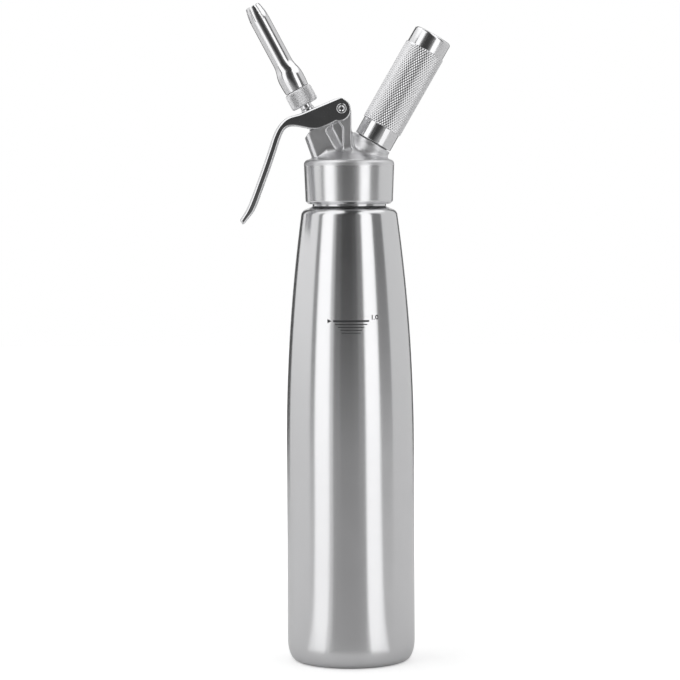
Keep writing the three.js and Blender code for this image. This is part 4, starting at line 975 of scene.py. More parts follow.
STEM_OUTLINE = rounded([
    (-BEYOND, STEM_BOTTOM), (SPIGOT_RADIUS, STEM_BOTTOM, EASED),
    (SPIGOT_RADIUS, SPIGOT_TOP, DEBURRED), (STEM_RADIUS, SPIGOT_TOP, EASED),
    (STEM_RADIUS, SHOULDER_BOTTOM, BROKEN), (SHOULDER_OUTER, SHOULDER_BOTTOM, SOFTENED),
    *crown, (SHANK_RADIUS, SHANK_TOP, BROKEN), (STEM_CORE, STEM_THREAD_FOOT, BROKEN),
    (STEM_CORE, STEM_TOP, EASED), (STEM_BORE, STEM_TOP, BROKEN),
    (STEM_BORE, STEM_BORE_FLOOR), (-BEYOND, STEM_BORE_FLOOR),
])
STEM_CELL = 0.35
STEM_BOX = ((-6.5, -6.5, STEM_BOTTOM - 1), (6.5, 6.5, STEM_TOP + 1))


def stem_distance(x, y, z):
    """The stem, in the valve's axes"""
    radius = np.hypot(x, y)
    body = outline_distance(radius, z, STEM_OUTLINE)
    climb = ridge(z, np.arctan2(y, x), STEM_THREAD_START, STEM_THREAD)
    on_thread = z > STEM_THREAD_START - STEM_THREAD_MARGIN
    on_thread &= radius > STEM_BORE + STEM_WALL_SHARE * (STEM_CORE - STEM_BORE)
    body = body - np.where(on_thread, climb, 0)
    return carve(body, np.hypot(x, z - SIDE_HOLE) - SIDE_HOLE_RADIUS, BROKEN)


netted("hollow_stem", stem_distance, STEM_BOX, STEM_CELL, "valve", "polished_steel",
       ["valve_stem"], VALVE_AXES)

# %% [markdown]
# ## The valve's spring
# A compression spring is wound from wire with its first and last turn closed, so
# that it stands square. The pitch is therefore tight at both ends and open between
# them.
# %% Wind the spring
SPRING_BOTTOM, SPRING_TOP, SPRING_OUTER = span("valve_spring", VALVE_AXES)
WIRE_RADIUS, SPRING_TURNS, CLOSED_TURNS = 0.45, 5.5, 0.8
STEPS_PER_TURN, WIRE_SIDES = 36, 14
CLOSED_PITCH_SHARE = 2.1
wire_low, wire_high = SPRING_BOTTOM + WIRE_RADIUS, SPRING_TOP - WIRE_RADIUS
closed_rise = CLOSED_TURNS * CLOSED_PITCH_SHARE * WIRE_RADIUS
helix_turns = np.linspace(0, SPRING_TURNS, round(SPRING_TURNS * STEPS_PER_TURN) + 1)
helix_z = np.interp(helix_turns, [0, CLOSED_TURNS, SPRING_TURNS - CLOSED_TURNS, SPRING_TURNS],
                    [wire_low, wire_low + closed_rise, wire_high - closed_rise, wire_high])
helix_angle = 2 * math.pi * helix_turns
wire_angle = 2 * math.pi * np.arange(WIRE_SIDES) / WIRE_SIDES
wire_r = SPRING_OUTER - WIRE_RADIUS + WIRE_RADIUS * np.cos(wire_angle)
wire_points = np.stack([
    np.outer(np.cos(helix_angle), wire_r), np.outer(np.sin(helix_angle), wire_r),
    helix_z[:, None] + WIRE_RADIUS * np.sin(wire_angle)[None] + 0 * helix_angle[:, None],
], -1)
wire_ids = np.arange(wire_points[..., 0].size).reshape(wire_points.shape[:2])
wire_faces = np.stack([wire_ids[1:], wire_ids[:-1], np.roll(wire_ids[:-1], -1, 1),
                       np.roll(wire_ids[1:], -1, 1)], -1).reshape(-1, 4).tolist()
wire_faces += [wire_ids[0].tolist(), wire_ids[-1, ::-1].tolist()]
spring = new_piece("coil_spring", wire_points.reshape(-1, 3), wire_faces, "head", "spring_steel",
                   ["valve_spring"], VALVE_AXES)
spring.data.set_sharp_from_angle(angle=SHARP)
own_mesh(spring)

# %% [markdown]
# ## Seals, bush and charger parts
# The seals are punched or moulded rubber washers, so their edges are only slightly
# soft. The bush, the piercing valve, its needle and the charger are turned or drawn.
# They are hidden until the dispenser is taken apart, yet each has its own rounds.
# %% Turn the seals
WASHERS = [
    ("bottle_gasket", "head_gasket", 19.8, "head_gasket", "red_rubber", UPRIGHT),
    ("stem_seal", "valve_seal", 3.0, "valve", "red_rubber", VALVE_AXES),
    ("nozzle_washer", "nozzle_seal", 2.4, "nozzle_seal", "grey_rubber", VALVE_AXES),
    ("piercer_washer", "piercer_gasket", 3.3, "head", "grey_rubber", PORT_AXES),
    ("charger_washer", "charger_seal", 1.4, "head", "black_rubber", PORT_AXES),
    ("gas_sleeve", "check_valve_sleeve", 3.3, "head", "black_rubber", PORT_AXES),
]
for name, node, inner, body, slot, axes in WASHERS:
    bottom, top, outer = span(node, axes)
    turned(name, [(r, z, EASED) for r, z in
                  ((inner, bottom), (outer, bottom), (outer, top), (inner, top))],
           body, slot, [node], axes, segments=WASHER_SIDES)

O_RING_RADIUS, O_RING_TUBE, O_RING_HEIGHT, O_RING_SIDES = 4.45, 0.65, 21.3, 16
turned("stem_o_ring", [
    (O_RING_RADIUS + O_RING_TUBE * math.cos(a), O_RING_HEIGHT + O_RING_TUBE * math.sin(a))
    for a in np.linspace(0, 2 * math.pi, O_RING_SIDES, endpoint=False)
], "head", "black_rubber", ["stem_ring"], VALVE_AXES, segments=SMALL_SIDES)

# %% [markdown]
# The bush is pressed into the head as the stem's bearing. The piercing valve is a
# hollow screw with a needle in its bore, and the charger is drawn steel: a round
# end, a straight wall and a cone that runs down to its foil-capped neck.
# %% Turn the bush, the piercer and the charger
BUSH_BOTTOM, BUSH_TOP, BUSH_RADIUS = span("guide_bush", VALVE_AXES)
BUSH_RECESS_RADIUS, BUSH_RECESS = 5.4, 2.0
turned("guide_sleeve", [
    (BUSH_RECESS_RADIUS, BUSH_BOTTOM), (BUSH_RADIUS, BUSH_BOTTOM, BROKEN),
    (BUSH_RADIUS, BUSH_TOP, ROUNDED), (GUIDE_BORE, BUSH_TOP, EASED),
    (GUIDE_BORE, BUSH_BOTTOM + BUSH_RECESS), (BUSH_RECESS_RADIUS, BUSH_BOTTOM + BUSH_RECESS),
], "head", "brass", ["guide_bush"], VALVE_AXES, segments=SMALL_SIDES)
SCREW_BOTTOM, SCREW_TOP, SCREW_HEAD = span("piercing_valve", PORT_AXES)
SCREW_RADIUS, SCREW_UNDER_HEAD, NEEDLE_HOLE = 3.0, 28.2, 1.4
turned("piercing_screw", [
    (NEEDLE_HOLE, SCREW_BOTTOM, DEBURRED), (SCREW_RADIUS, SCREW_BOTTOM, EASED),
    (SCREW_RADIUS, SCREW_UNDER_HEAD), (SCREW_HEAD, SCREW_UNDER_HEAD, BROKEN),
    (SCREW_HEAD, SCREW_TOP, SOFTENED), (NEEDLE_HOLE, SCREW_TOP, BROKEN),
], "head", "brass", ["piercing_valve"], PORT_AXES, segments=SMALL_SIDES)
NEEDLE_BOTTOM, NEEDLE_TOP, NEEDLE_RADIUS = span("piercing_needle", PORT_AXES)
NEEDLE_FOOT_ROUND, NEEDLE_POINT, NEEDLE_POINT_RADIUS = 0.15, 1.0, 0.1
turned("needle", [
    (0, NEEDLE_BOTTOM), (NEEDLE_RADIUS, NEEDLE_BOTTOM, NEEDLE_FOOT_ROUND),
    (NEEDLE_RADIUS, NEEDLE_TOP - NEEDLE_POINT, BROKEN),
    (NEEDLE_POINT_RADIUS, NEEDLE_TOP), (0, NEEDLE_TOP),
], "head", "spring_steel", ["piercing_needle"], PORT_AXES, segments=NEEDLE_SIDES)
CHARGER_BOTTOM, CHARGER_TOP, CHARGER_RADIUS = span("gas_charger", PORT_AXES)
CHARGER_NECK, NECK_LENGTH, NECK_ROUND, LIP_ROUND = 4.4, 8.0, 3, 0.6
FOIL_RADIUS, FOIL_DEPTH, LIP_RADIUS = 2.6, 0.4, 3.0
CONE_LENGTH, CONE_MIDDLE, CONE_MIDDLE_RADIUS, CONE_ROUND = 10.0, 11.3, 6.7, 8
DOME_STEPS = 14
charger_end = [(CHARGER_RADIUS * math.cos(a), CHARGER_TOP - CHARGER_RADIUS * (1 - math.sin(a)))
               for a in np.linspace(0, math.pi / 2, DOME_STEPS)]
turned("steel_charger", [
    (0, CHARGER_BOTTOM + FOIL_DEPTH), (FOIL_RADIUS, CHARGER_BOTTOM + FOIL_DEPTH, BROKEN),
    (LIP_RADIUS, CHARGER_BOTTOM, BROKEN), (CHARGER_NECK, CHARGER_BOTTOM, LIP_ROUND),
    (CHARGER_NECK, CHARGER_BOTTOM + NECK_LENGTH, NECK_ROUND),
    (CONE_MIDDLE_RADIUS, CHARGER_BOTTOM + CONE_MIDDLE, NECK_ROUND),
    (CHARGER_RADIUS, CHARGER_BOTTOM + NECK_LENGTH + CONE_LENGTH, CONE_ROUND), *charger_end,
], "gas_charger", "charger_steel", ["gas_charger"], PORT_AXES)

# %% [markdown]
# ## The fill mark
# A fill mark is printed on the front of the bottle: a bold line with thinner and
# shorter ones below it, a small arrowhead and the volume as a plain number. Each
# is drawn as a strip between two edges, bent round the bottle, with a hair's depth
# of its own, so it follows the taper and never floats off the wall.
# %% Strips round the bottle
MARK_HEIGHT, MARK_LIFT, MARK_SINK, MARK_STEP = 215.0, 0.05, 0.05, 0.6
mark_points, mark_faces = [], []


def strip(low_edge, high_edge, closed=False):
    """A thin solid between two edges, given as points along and up the wall"""
    start, count = len(mark_points), len(low_edge)
    for along, up in (*low_edge, *high_edge):
        z = MARK_HEIGHT + up
        angle = along / bottle_radius(z) - math.pi / 2
        for out in (MARK_LIFT, -MARK_SINK):
            radius = bottle_radius(z) + out
            mark_points.append((radius * math.cos(angle), radius * math.sin(angle), z))
    for i in range(count if closed else count - 1):
        low, low_next = start + 2 * i, start + 2 * ((i + 1) % count)
        high, high_next = low + 2 * count, low_next + 2 * count
        mark_faces.extend([
            (low, low_next, high_next, high), (low + 1, high + 1, high_next + 1, low_next + 1),
            (low, low + 1, low_next + 1, low_next), (high, high_next, high_next + 1, high + 1),
        ])
    if not closed:
        for low in (start, start + 2 * count - 2):
            face = (low, low + 2 * count, low + 2 * count + 1, low + 1)
            mark_faces.append(face if low == start else face[::-1])


def bar(left, right, middle, thickness):
    """A straight bar with enough points to bend round the wall"""
    along = np.linspace(left, right, 2 + int((right - left) / MARK_STEP))
    low, high = middle - thickness / 2, middle + thickness / 2
    strip([(a, low) for a in along], [(a, high) for a in along])


# %% [markdown]
# The bars say how far down the fill is, and the numeral says litres. It is made of
# two short bars and an oval ring, with no font.
# %% Print the fill mark
MARK_BARS = [
    (11.2, 0, 1.1), (10.0, -2.05, 0.6), (8.2, -3.8, 0.55), (6.6, -5.55, 0.5), (6.0, -7.3, 0.4),
]
MARK_MIDDLE = 0.7
for half, middle, thickness in MARK_BARS:
    bar(MARK_MIDDLE - half, MARK_MIDDLE + half, middle, thickness)
ARROW_TIP, ARROW_LENGTH, ARROW_HALF, ARROW_TIP_HALF = -11.6, 2.6, 1.3, 0.05
ARROW_EDGE = [(ARROW_TIP - ARROW_LENGTH, ARROW_HALF),
              (ARROW_TIP - ARROW_LENGTH / 2, ARROW_HALF / 2), (ARROW_TIP, ARROW_TIP_HALF)]
strip([(along, -half) for along, half in ARROW_EDGE], ARROW_EDGE)
DIGIT_LEFT, DIGIT_LEVEL, DIGIT_HEIGHT, DIGIT_STROKE = 13.6, 2.2, 2.9, 0.6
POINT_OFFSET, OVAL_OFFSET, OVAL_HALF_WIDTH, OVAL_STEPS = 1.3, 3.4, 1.15, 28
half_digit, point_left = DIGIT_HEIGHT / 2, DIGIT_LEFT + POINT_OFFSET
bar(DIGIT_LEFT, DIGIT_LEFT + DIGIT_STROKE, DIGIT_LEVEL, DIGIT_HEIGHT)
point_level = DIGIT_LEVEL + DIGIT_STROKE / 2 - half_digit
bar(point_left, point_left + DIGIT_STROKE, point_level, DIGIT_STROKE)


def oval(half_width, half_height):
    """The edge of the nought, inner or outer"""
    turns = np.linspace(0, 2 * math.pi, OVAL_STEPS, endpoint=False)
    return [(DIGIT_LEFT + OVAL_OFFSET + half_width * math.cos(a),
             DIGIT_LEVEL + half_height * math.sin(a)) for a in turns]


strip(oval(OVAL_HALF_WIDTH - DIGIT_STROKE, half_digit - DIGIT_STROKE),
      oval(OVAL_HALF_WIDTH, half_digit), closed=True)
fill_mark = new_piece("fill_mark", mark_points, mark_faces, "bottle", "brushed_bottle", [],
                      UPRIGHT)
fill_mark.data.set_sharp_from_angle(angle=SHARP)

# %% [markdown]
# ## Effects that the metals share
# A bare Principled shader looks like plastic that was told to be steel. What makes
# metal real is small: the lines that a tool leaves, smudges from handling, and edges
# rubbed brighter. Each effect is one node group that gives a value which changes
# over the surface, and each material takes as much of it as it needs.
# %% Helpers for node trees


def add(tree, kind, inputs=None, **settings):
    """A shader node with its settings; an input takes a value or a link"""
    made = tree.nodes.new("ShaderNode" + kind)
    for name, value in settings.items():
        setattr(made, name, value)
    for key, value in (inputs or {}).items():
        if isinstance(value, bpy.types.NodeSocket):
            tree.links.new(value, made.inputs[key])
        else:
            made.inputs[key].default_value = value
    return made


def new_group(name, inputs, outputs):
    """An empty node group with number inputs and outputs, and its two end nodes"""
    tree = bpy.data.node_groups.new(name, "ShaderNodeTree")
    for title, default in inputs:
        socket = tree.interface.new_socket(title, in_out="INPUT", socket_type="NodeSocketFloat")
        socket.default_value = default
    for title in outputs:
        tree.interface.new_socket(title, in_out="OUTPUT", socket_type="NodeSocketFloat")
    ends = tree.nodes.new("NodeGroupInput"), tree.nodes.new("NodeGroupOutput")
    return tree, add(tree, "TexCoord"), *ends


def math_node(tree, operation, a, b=0.0, c=0.0):
    """The result of one sum"""
    return add(tree, "Math", {0: a, 1: b, 2: c}, operation=operation).outputs[0]


def mapped(tree, value, low, high, to_low=0.0, to_high=1.0):
    """A value that runs from low to high, moved to another range and kept inside it"""
    return add(tree, "MapRange", {"Value": value, "From Min": low, "From Max": high,
                                  "To Min": to_low, "To Max": to_high}).outputs[0]


def coloured(tree, colour, shade, shader):
    """A colour made lighter or darker by a value, as a shader's colour"""
    scaled = add(tree, "VectorMath", {0: colour, "Scale": shade}, operation="SCALE")
    tree.links.new(scaled.outputs[0], shader.inputs["Base Color"])


def bumped(tree, height, depth, shader):
    """A height over the surface, this many mm deep, as a shader's normal"""
    bump = add(tree, "Bump", {"Strength": 1.0, "Distance": depth * MM, "Height": height})
    tree.links.new(bump.outputs[0], shader.inputs["Normal"])


# %% [markdown]
# Turning and brushing leave fine lines round the axis. They are noise that is
# stretched along the turning and squeezed along the axis, in the piece's own
# coordinates, so the lines run round every turned piece and have a real width. Two
# sizes are mixed, because a worn belt leaves a few deeper lines among the fine ones.
# %% Lines left by turning
tree, coords, given, out = new_group("turned lines", [("Lines per mm", 4.0)], ["Lines"])
STREAKS_PER_M = 40.0
LINE_SIZE_SHARES, FINE_LINES_SHARE, DEEP_LINES_SHARE = (1.0, 0.23), 0.6, 0.4
part = add(tree, "SeparateXYZ", {0: coords.outputs["Object"]})
lines_per_m = math_node(tree, "MULTIPLY", given.outputs[0], 1 / MM)
fine_z = math_node(tree, "MULTIPLY", part.outputs[2], lines_per_m)
layers = []
for share in LINE_SIZE_SHARES:
    streak = add(tree, "CombineXYZ", {
        0: math_node(tree, "MULTIPLY", part.outputs[0], STREAKS_PER_M),
        1: math_node(tree, "MULTIPLY", part.outputs[1], STREAKS_PER_M),
        2: math_node(tree, "MULTIPLY", fine_z, share),
    })
    noise = add(tree, "TexNoise", {"Vector": streak.outputs[0], "Scale": 1.0, "Detail": 2.0,
                                   "Roughness": 0.6})
    layers.append(noise.outputs[0])
deep = math_node(tree, "MULTIPLY", layers[1], DEEP_LINES_SHARE)
lines = math_node(tree, "MULTIPLY_ADD", layers[0], FINE_LINES_SHARE, deep)
tree.links.new(lines, out.inputs[0])
TURNED_LINES = tree

# %% [markdown]
# A satin surface has short hairlines that lie nearly parallel, from an abrasive pad.
# %% Hairlines from a pad
HAIRLINE_STRETCH = (260.0, 900.0, 5200.0)
tree, coords, given, out = new_group("hairlines", [("Slant", 0.5)], ["Hairlines"])
turn = add(tree, "VectorRotate", {"Vector": coords.outputs["Object"], "Angle": given.outputs[0]},
           rotation_type="Y_AXIS")
pad = add(tree, "VectorMath", {0: turn.outputs[0], 1: HAIRLINE_STRETCH}, operation="MULTIPLY")
noise = add(tree, "TexNoise", {"Vector": pad.outputs[0], "Scale": 1.0, "Detail": 3.0,
                               "Roughness": 0.65})
tree.links.new(noise.outputs[0], out.inputs[0])
HAIRLINES = tree

# %% [markdown]
# Hands leave a film that is thicker here and thinner there. It only shows as a
# slow change of gloss, some centimetres across, with a finer mottle over it.
# %% Smudges
SMUDGE_FROM, SMUDGE_TO = 0.35, 0.7
tree, coords, given, out = new_group("smudges", [("Size mm", 30.0)], ["Smudge"])
scale = math_node(tree, "DIVIDE", 1 / MM, given.outputs[0])
slow = add(tree, "TexNoise", {"Vector": coords.outputs["Object"], "Scale": scale,
                              "Detail": 4.0, "Roughness": 0.6, "Distortion": 0.6})
tree.links.new(mapped(tree, slow.outputs[0], SMUDGE_FROM, SMUDGE_TO), out.inputs[0])
SMUDGES = tree

# %% [markdown]
# Edges are touched and wiped more than flats are, so they end up brighter. The
# geometry's pointiness is high where a surface turns outward, which finds them.
# %% Worn edges
tree, coords, given, out = new_group("worn edges", [("From", 0.51), ("To", 0.6)], ["Edge"])
pointed = add(tree, "NewGeometry").outputs["Pointiness"]
tree.links.new(mapped(tree, pointed, given.outputs[0], given.outputs[1]), out.inputs[0])
WORN_EDGES = tree

# %% [markdown]
# ## The metals
# All the metals are built by one function, because they differ only in colour and
# in how they were finished. Gloss and colour are moved a little by the lines, the
# smudges and the edges. A turned finish also blurs a reflection far more along the
# axis than round it: that is anisotropy, and a tangent that runs round the axis
# tells the shader which way the lines go. The head is glossy only where it was
# turned, on the collar's wall; above that it is as it was cast, and duller.
# %% A metal's material


def use_group(tree, group, **values):
    """A node group in a material, with its values"""
    made = tree.nodes.new("ShaderNodeGroup")
    made.node_tree = group
    for name, value in values.items():
        made.inputs[name.replace("_", " ")].default_value = value
    return made.outputs[0]


ACROSS_LINES = 0.25
LEAST_ROUGHNESS = 0.04
CAST_BOTTOM = COLLAR_HEIGHT


def metal(name, colour, roughness, lines, line_depth, line_gloss, smudge_gloss=0.05,
          aniso=0.0, edge_gloss=0.04, tint=0.06, cast_gloss=0.0):
    """A metal from its colour, its gloss, its lines and how far they show"""
    material = bpy.data.materials.new(name)
    material.use_nodes = True
    tree = material.node_tree
    shader = tree.nodes["Principled BSDF"]
    shader.inputs["Metallic"].default_value = 1.0
    shader.inputs["Anisotropic"].default_value = aniso
    shader.inputs["Anisotropic Rotation"].default_value = ACROSS_LINES
    if aniso:
        tangent = add(tree, "Tangent", direction_type="RADIAL", axis="Z")
        tree.links.new(tangent.outputs[0], shader.inputs["Tangent"])
    smudge = use_group(tree, SMUDGES)
    edge = use_group(tree, WORN_EDGES)
    about_middle = math_node(tree, "SUBTRACT", lines(tree), 0.5)
    gloss = math_node(tree, "MULTIPLY_ADD", about_middle, line_gloss, roughness)
    gloss = math_node(tree, "MULTIPLY_ADD", smudge, smudge_gloss, gloss)
    gloss = math_node(tree, "MULTIPLY_ADD", edge, -edge_gloss, gloss)
    if cast_gloss:
        up = add(tree, "SeparateXYZ", {0: add(tree, "TexCoord").outputs["Object"]}).outputs[2]
        cast = mapped(tree, up, CAST_BOTTOM * MM, (CAST_BOTTOM + 1) * MM, to_high=cast_gloss)
        gloss = math_node(tree, "ADD", gloss, cast)
    gloss = math_node(tree, "MAXIMUM", gloss, LEAST_ROUGHNESS)
    tree.links.new(gloss, shader.inputs["Roughness"])
    shade = math_node(tree, "MULTIPLY_ADD", about_middle, tint, 1.0)
    shade = math_node(tree, "MULTIPLY_ADD", smudge, -tint / 2, shade)
    coloured(tree, colour, math_node(tree, "MULTIPLY_ADD", edge, tint, shade), shader)
    bumped(tree, lines(tree), line_depth, shader)
    return material


def turned_lines(per_mm):
    """Lines round the axis, so many to a mm"""
    return lambda tree: use_group(tree, TURNED_LINES, Lines_per_mm=per_mm)


def hairlines(slant):
    """A pad's hairlines at a slant"""
    return lambda tree: use_group(tree, HAIRLINES, Slant=slant)


# %% [markdown]
# The bottle is brushed while it turns, so its lines run round it and blur along it.
# The head is satin, the lever, the nozzle and the holder's ends are polished, and
# the ring is blasted matt. Zinc and brass differ in colour. Each row says a slot, a
# name, a colour, a roughness, the lines, their depth in mm, how far they change the
# gloss, and what else is special.
# %% Make the metals
METALS = [
    ("brushed_bottle", "brushed bottle", (0.72, 0.72, 0.73), 0.2, turned_lines(5.0), 0.0006, 0.05,
     {"smudge_gloss": 0.03, "aniso": 0.85, "tint": 0.03}),
    ("head_steel", "satin head", (0.74, 0.74, 0.75), 0.2, hairlines(0.5), 0.0015, 0.08,
     {"tint": 0.04, "cast_gloss": 0.16}),
    ("polished_steel", "polished steel", (0.78, 0.78, 0.79), 0.1, hairlines(1.1), 0.0006, 0.06,
     {"tint": 0.03}),
    ("matt_steel", "matt steel", (0.76, 0.76, 0.77), 0.42, hairlines(0.2), 0.003, 0.12, {}),
    ("knurled_steel", "knurled steel", (0.77, 0.77, 0.78), 0.12, turned_lines(7.0), 0.0008, 0.06,
     {"tint": 0.04}),
    ("spring_steel", "spring wire", (0.62, 0.62, 0.63), 0.24, hairlines(0.0), 0.001, 0.1,
     {"tint": 0.1}),
    ("charger_steel", "zinc plate", (0.6, 0.61, 0.62), 0.32, turned_lines(3.0), 0.001, 0.12,
     {"smudge_gloss": 0.12, "tint": 0.16}),
    ("brass", "turned brass", (0.72, 0.58, 0.32), 0.24, turned_lines(6.0), 0.002, 0.12,
     {"tint": 0.1}),
]
FINISHES = {slot: metal(*values, **special) for slot, *values, special in METALS}

# %% [markdown]
# ## The rubbers and the print
# Moulded rubber is dull, slightly mottled, and a little lighter along its edges,
# where dust and talc stay. The print is a dark paint that is baked on, a touch
# uneven in its cover.
# %% Make the rubbers and the print
GRAIN_TINT, SMUDGE_TINT = 0.35, 0.2
GRAIN_GLOSS, COATING_SMUDGE_GLOSS, COATING_SMUDGE_MM = 0.2, 0.08, 8.0


def coating(name, colour, roughness, grain_mm, grain_depth, edge_light):
    """A dull coloured surface with a fine grain"""
    material = bpy.data.materials.new(name)
    material.use_nodes = True
    tree = material.node_tree
    shader = tree.nodes["Principled BSDF"]
    place = add(tree, "TexCoord").outputs["Object"]
    grain = add(tree, "TexNoise", {"Vector": place, "Scale": 1 / (grain_mm * MM),
                                   "Detail": 3.0}).outputs[0]
    smudge = use_group(tree, SMUDGES, Size_mm=COATING_SMUDGE_MM)
    edge = use_group(tree, WORN_EDGES)
    about_middle = math_node(tree, "SUBTRACT", grain, 0.5)
    shade = math_node(tree, "MULTIPLY_ADD", about_middle, GRAIN_TINT, 1.0)
    shade = math_node(tree, "MULTIPLY_ADD", smudge, SMUDGE_TINT, shade)
    coloured(tree, colour, math_node(tree, "MULTIPLY_ADD", edge, edge_light, shade), shader)
    gloss = math_node(tree, "MULTIPLY_ADD", grain, GRAIN_GLOSS, roughness - GRAIN_GLOSS / 2)
    gloss = math_node(tree, "MULTIPLY_ADD", smudge, COATING_SMUDGE_GLOSS, gloss)
    tree.links.new(gloss, shader.inputs["Roughness"])
    bumped(tree, grain, grain_depth, shader)
    return material


FINISHES["red_rubber"] = coating("red rubber", (0.45, 0.08, 0.06), 0.55, 0.5, 0.02, 0.5)
FINISHES["black_rubber"] = coating("black rubber", (0.03, 0.03, 0.03), 0.5, 0.5, 0.02, 1.0)
FINISHES["grey_rubber"] = coating("grey rubber", (0.2, 0.2, 0.21), 0.55, 0.5, 0.02, 0.5)
MARK_PRINT = coating("baked print", (0.025, 0.025, 0.027), 0.45, 0.3, 0.002, 0.2)

# %% [markdown]
# Every piece takes the finish of its slot in the record, so one loop dresses them
# all. The fill mark lies in the bottle's slot, and gets its print after that.
# %% Dress the pieces
NODE_SLOTS = {part["node"]: part["material_slot"] for part in frame["record"]["subparts"]}


def dress(piece, material):
    """One material all over a piece, also where the solid came with its own"""
    if not piece.material_slots:
        piece.data.materials.append(None)
    for material_slot in piece.material_slots:
        material_slot.link = "OBJECT"
        material_slot.material = material


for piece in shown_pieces():
    slot_name = piece.get("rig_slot") or NODE_SLOTS[piece.name]
    dress(piece, FINISHES[slot_name])
    print(piece.name, "takes", slot_name)
dress(fill_mark, MARK_PRINT)

# %% [markdown]
# ## The studio
# Polished metal shows its surroundings and little else, so the room matters as much
# as the steel. The photograph was lit by a soft light on each side with a dark gap
# behind the camera, which gives the dark stripe down the middle between two bright
# ones. The lights and the darker gaps are cards that stand round the object.
# %% The world
WHITE = (1.0, 1.0, 1.0, 1.0)
RAMP_FROM, RAMP_TO = 0.0, 350.0
bpy.context.scene.view_settings.view_transform = "Standard"


def shows_to(tree, names):
    """1 for rays of the given kinds, 0 for all other rays"""
    path = add(tree, "LightPath")
    total = 0.0
    for name in names:
        total = math_node(tree, "MAXIMUM", path.outputs[name], total)
    return total


world = bpy.data.worlds.new("white studio")
bpy.context.scene.world = world
world.use_nodes = True
background = world.node_tree.nodes["Background"]
background.inputs["Color"].default_value = WHITE
seen = shows_to(world.node_tree, ["Is Camera Ray", "Is Glossy Ray", "Is Transmission Ray"])
world.node_tree.links.new(seen, background.inputs["Strength"])


# %% [markdown]
# A card gives out light and isn't lit, so it needs only an emission. The camera
# doesn't see it, and it throws no shadow, but it does show in the metal.
# %% A card


def card(name, points, faces, low, high, diffuse=True):
    """A card that the camera doesn't see, as bright as low at its foot and high above"""
    mesh = bpy.data.meshes.new(name)
    mesh.from_pydata([tuple(c * MM for c in p) for p in points], [], faces)
    made = bpy.data.objects.new(name, mesh)
    bpy.context.scene.collection.objects.link(made)
    material = bpy.data.materials.new(name)
    material.use_nodes = True
    tree = material.node_tree
    tree.nodes.clear()
    up = add(tree, "SeparateXYZ", {0: add(tree, "TexCoord").outputs["Object"]}).outputs[2]
    ramp = mapped(tree, up, RAMP_FROM * MM, RAMP_TO * MM, low, high)
    emission = add(tree, "Emission", {"Color": WHITE, "Strength": ramp})
    add(tree, "OutputMaterial", {0: emission.outputs[0]})
    mesh.materials.append(material)
    made.visible_camera = False
    made.visible_shadow = False
    made.visible_diffuse = diffuse


# %% [markdown]
# The table is pale and dull. For the camera alone it also glows a little under the
# object and fully further out, so that it runs into the white of the world without
# an edge while the object's shadow still shows.
# %% The table
FLOOR_HALF, FLOOR_COLOUR, FLOOR_LIFT = 3000.0, (0.8, 0.8, 0.8, 1.0), 0.45
FLOOR_DROP, FADE_START, FADE_END = 0.2, 150.0, 600.0
floor_mesh = bpy.data.meshes.new("floor")
floor_mesh.from_pydata([(x * FLOOR_HALF * MM, y * FLOOR_HALF * MM, -FLOOR_DROP * MM)
                        for x, y in ((-1, -1), (1, -1), (1, 1), (-1, 1))], [], [(0, 1, 2, 3)])
floor = bpy.data.objects.new("floor", floor_mesh)
bpy.context.scene.collection.objects.link(floor)
floor_material = bpy.data.materials.new("white table")
floor_material.use_nodes = True
tree = floor_material.node_tree
shader = tree.nodes["Principled BSDF"]
shader.inputs["Base Color"].default_value = FLOOR_COLOUR
shader.inputs["Roughness"].default_value = 0.9
shader.inputs["Specular IOR Level"].default_value = 0.1
shader.inputs["Emission Color"].default_value = WHITE
flat = add(tree, "TexCoord").outputs["Object"]
away = add(tree, "VectorMath", {0: flat}, operation="LENGTH").outputs["Value"]
fade = add(tree, "MapRange", {"Value": away, "From Min": FADE_START * MM,
                              "From Max": FADE_END * MM, "To Min": FLOOR_LIFT, "To Max": 1.0},
           interpolation_type="SMOOTHSTEP").outputs[0]
lift = math_node(tree, "MULTIPLY", shows_to(tree, ["Is Camera Ray"]), fade)
tree.links.new(lift, shader.inputs["Emission Strength"])
floor_mesh.materials.append(floor_material)
print("the table is", 2 * FLOOR_HALF * MM, "m wide")

# %% [markdown]
# The cards form a tent round the object. Angles are measured from the camera's side,
# and grow towards the charger. Each row says where a card starts and ends, and its
# brightness low down and high up: the gaps are darker above, where the head is.
# %% Cards round the object
TENT_RADIUS, TENT_BOTTOM, TENT_TOP, TENT_STEP = 1250.0, -20.0, 1300.0, 3.0
TENT = [
    ("gap_left_side", -38, -31, 1.0, 0.5), ("gap_left", -31, -18, 0.42, 0.1),
    ("gap_middle", -18, 6, 0.3, 0.05), ("gap_right", 6, 15, 0.32, 0.08),
    ("gap_right_side", 15, 27, 0.42, 0.2),
    ("left_softbox", -67, -38, 1.37, 1.37), ("right_softbox", 27, 54, 1.38, 1.38),
    ("left_edge", -77, -67, 0.4, 0.24), ("right_edge", 54, 81, 0.5, 0.18),
    ("right_wall", 81, 150, 0.68, 0.74), ("rear_right_edge", 150, 165, 0.1, 0.1),
    ("back", 165, 195, 0.68, 0.8), ("rear_left_edge", 195, 220, 0.1, 0.1),
    ("left_wall", 220, 283, 0.68, 0.95),
]


def rim(start, end, radius):
    """Points along an arc round the object, from one angle to another"""
    turns = np.radians(np.linspace(start, end, 2 + int((end - start) / TENT_STEP)))
    return [(radius * math.sin(a), -radius * math.cos(a)) for a in turns]


def between(name, first, second, low, high, diffuse=True):
    """A card between two edges with as many points each"""
    count = len(first)
    faces = [(i, i + 1, count + i + 1, count + i) for i in range(count - 1)]
    card(name, first + second, faces, low, high, diffuse)


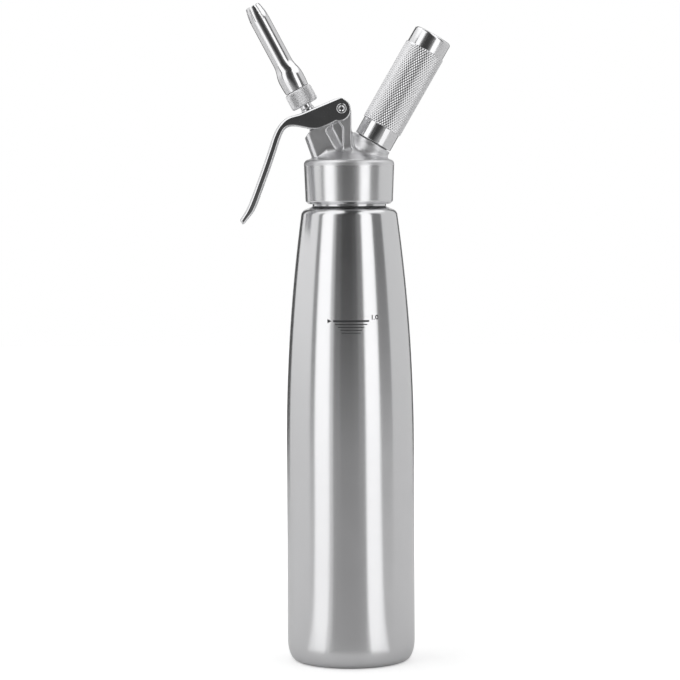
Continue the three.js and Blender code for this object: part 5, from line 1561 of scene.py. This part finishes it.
def wall(name, start, end, radius, bottom, low, high):
    """A card that stands on an arc and reaches up to the ceiling"""
    arc = rim(start, end, radius)
    between(name, [(x, y, bottom) for x, y in arc], [(x, y, TENT_TOP) for x, y in arc], low, high)


for name, start, end, low, high in TENT:
    wall(name, start, end, TENT_RADIUS, TENT_BOTTOM, low, high)

# %% [markdown]
# Overhead is one large light. A dark strip hangs below it, from the camera's side to
# just past the object, which gives the dome and the holder their dark middle, and
# the ceiling's far end and the top of the back are dark too. The table itself is
# dull, so its sheen is a painted reflection: glowing cards lie flat on it, seen only
# in the metal and lighting nothing, and show the two soft lights and the dark gap
# between them as if weakly mirrored by the table, so the bottle's stripes run down
# to its foot.
# %% Cards overhead and on the table
CEILING_BRIGHTNESS, CEILING_DARK_FROM = 1.3, 900.0
DARK_BRIGHTNESS, STRIP_BRIGHTNESS, CARD_GAP = 0.1, 0.06, 10
for name, near, far, brightness in (
        ("ceiling", -TENT_RADIUS, CEILING_DARK_FROM, CEILING_BRIGHTNESS),
        ("ceiling_end", CEILING_DARK_FROM, TENT_RADIUS, DARK_BRIGHTNESS)):
    card(name, [(-TENT_RADIUS, near, TENT_TOP), (TENT_RADIUS, near, TENT_TOP),
                (TENT_RADIUS, far, TENT_TOP), (-TENT_RADIUS, far, TENT_TOP)],
         [(3, 2, 1, 0)], brightness, brightness)
OVERHEAD = [(-700, -1250), (520, -1250), (330, -500), (330, 250), (-150, 250), (-150, -600)]
card("dark_overhead", [(x, y, TENT_TOP - CARD_GAP) for x, y in OVERHEAD],
     [tuple(reversed(range(len(OVERHEAD))))], STRIP_BRIGHTNESS, STRIP_BRIGHTNESS)
DARK_BACK_START, DARK_BACK_END, DARK_BACK_BOTTOM = 165, 195, 1000
wall("back_top", DARK_BACK_START, DARK_BACK_END, TENT_RADIUS - CARD_GAP, DARK_BACK_BOTTOM,
     DARK_BRIGHTNESS, DARK_BRIGHTNESS)
# Painted reflection: cards on the table that glow only for the metal's reflections and light nothing.
PAINTED_SHEENS = [("left_sheen", -66, -38, 1.15), ("right_sheen", 28, 56, 1.2),
          ("dark_sheen", -31, 27, 0.4)]
PAINTED_SHEEN_START, PAINTED_SHEEN_LIFT = 70.0, 1.0
for name, start, end, brightness in PAINTED_SHEENS:
    edges = [[(x, y, PAINTED_SHEEN_LIFT) for x, y in rim(start, end, radius)]
             for radius in (PAINTED_SHEEN_START, TENT_RADIUS - CARD_GAP)]
    between(name, *edges, brightness, brightness, diffuse=False)
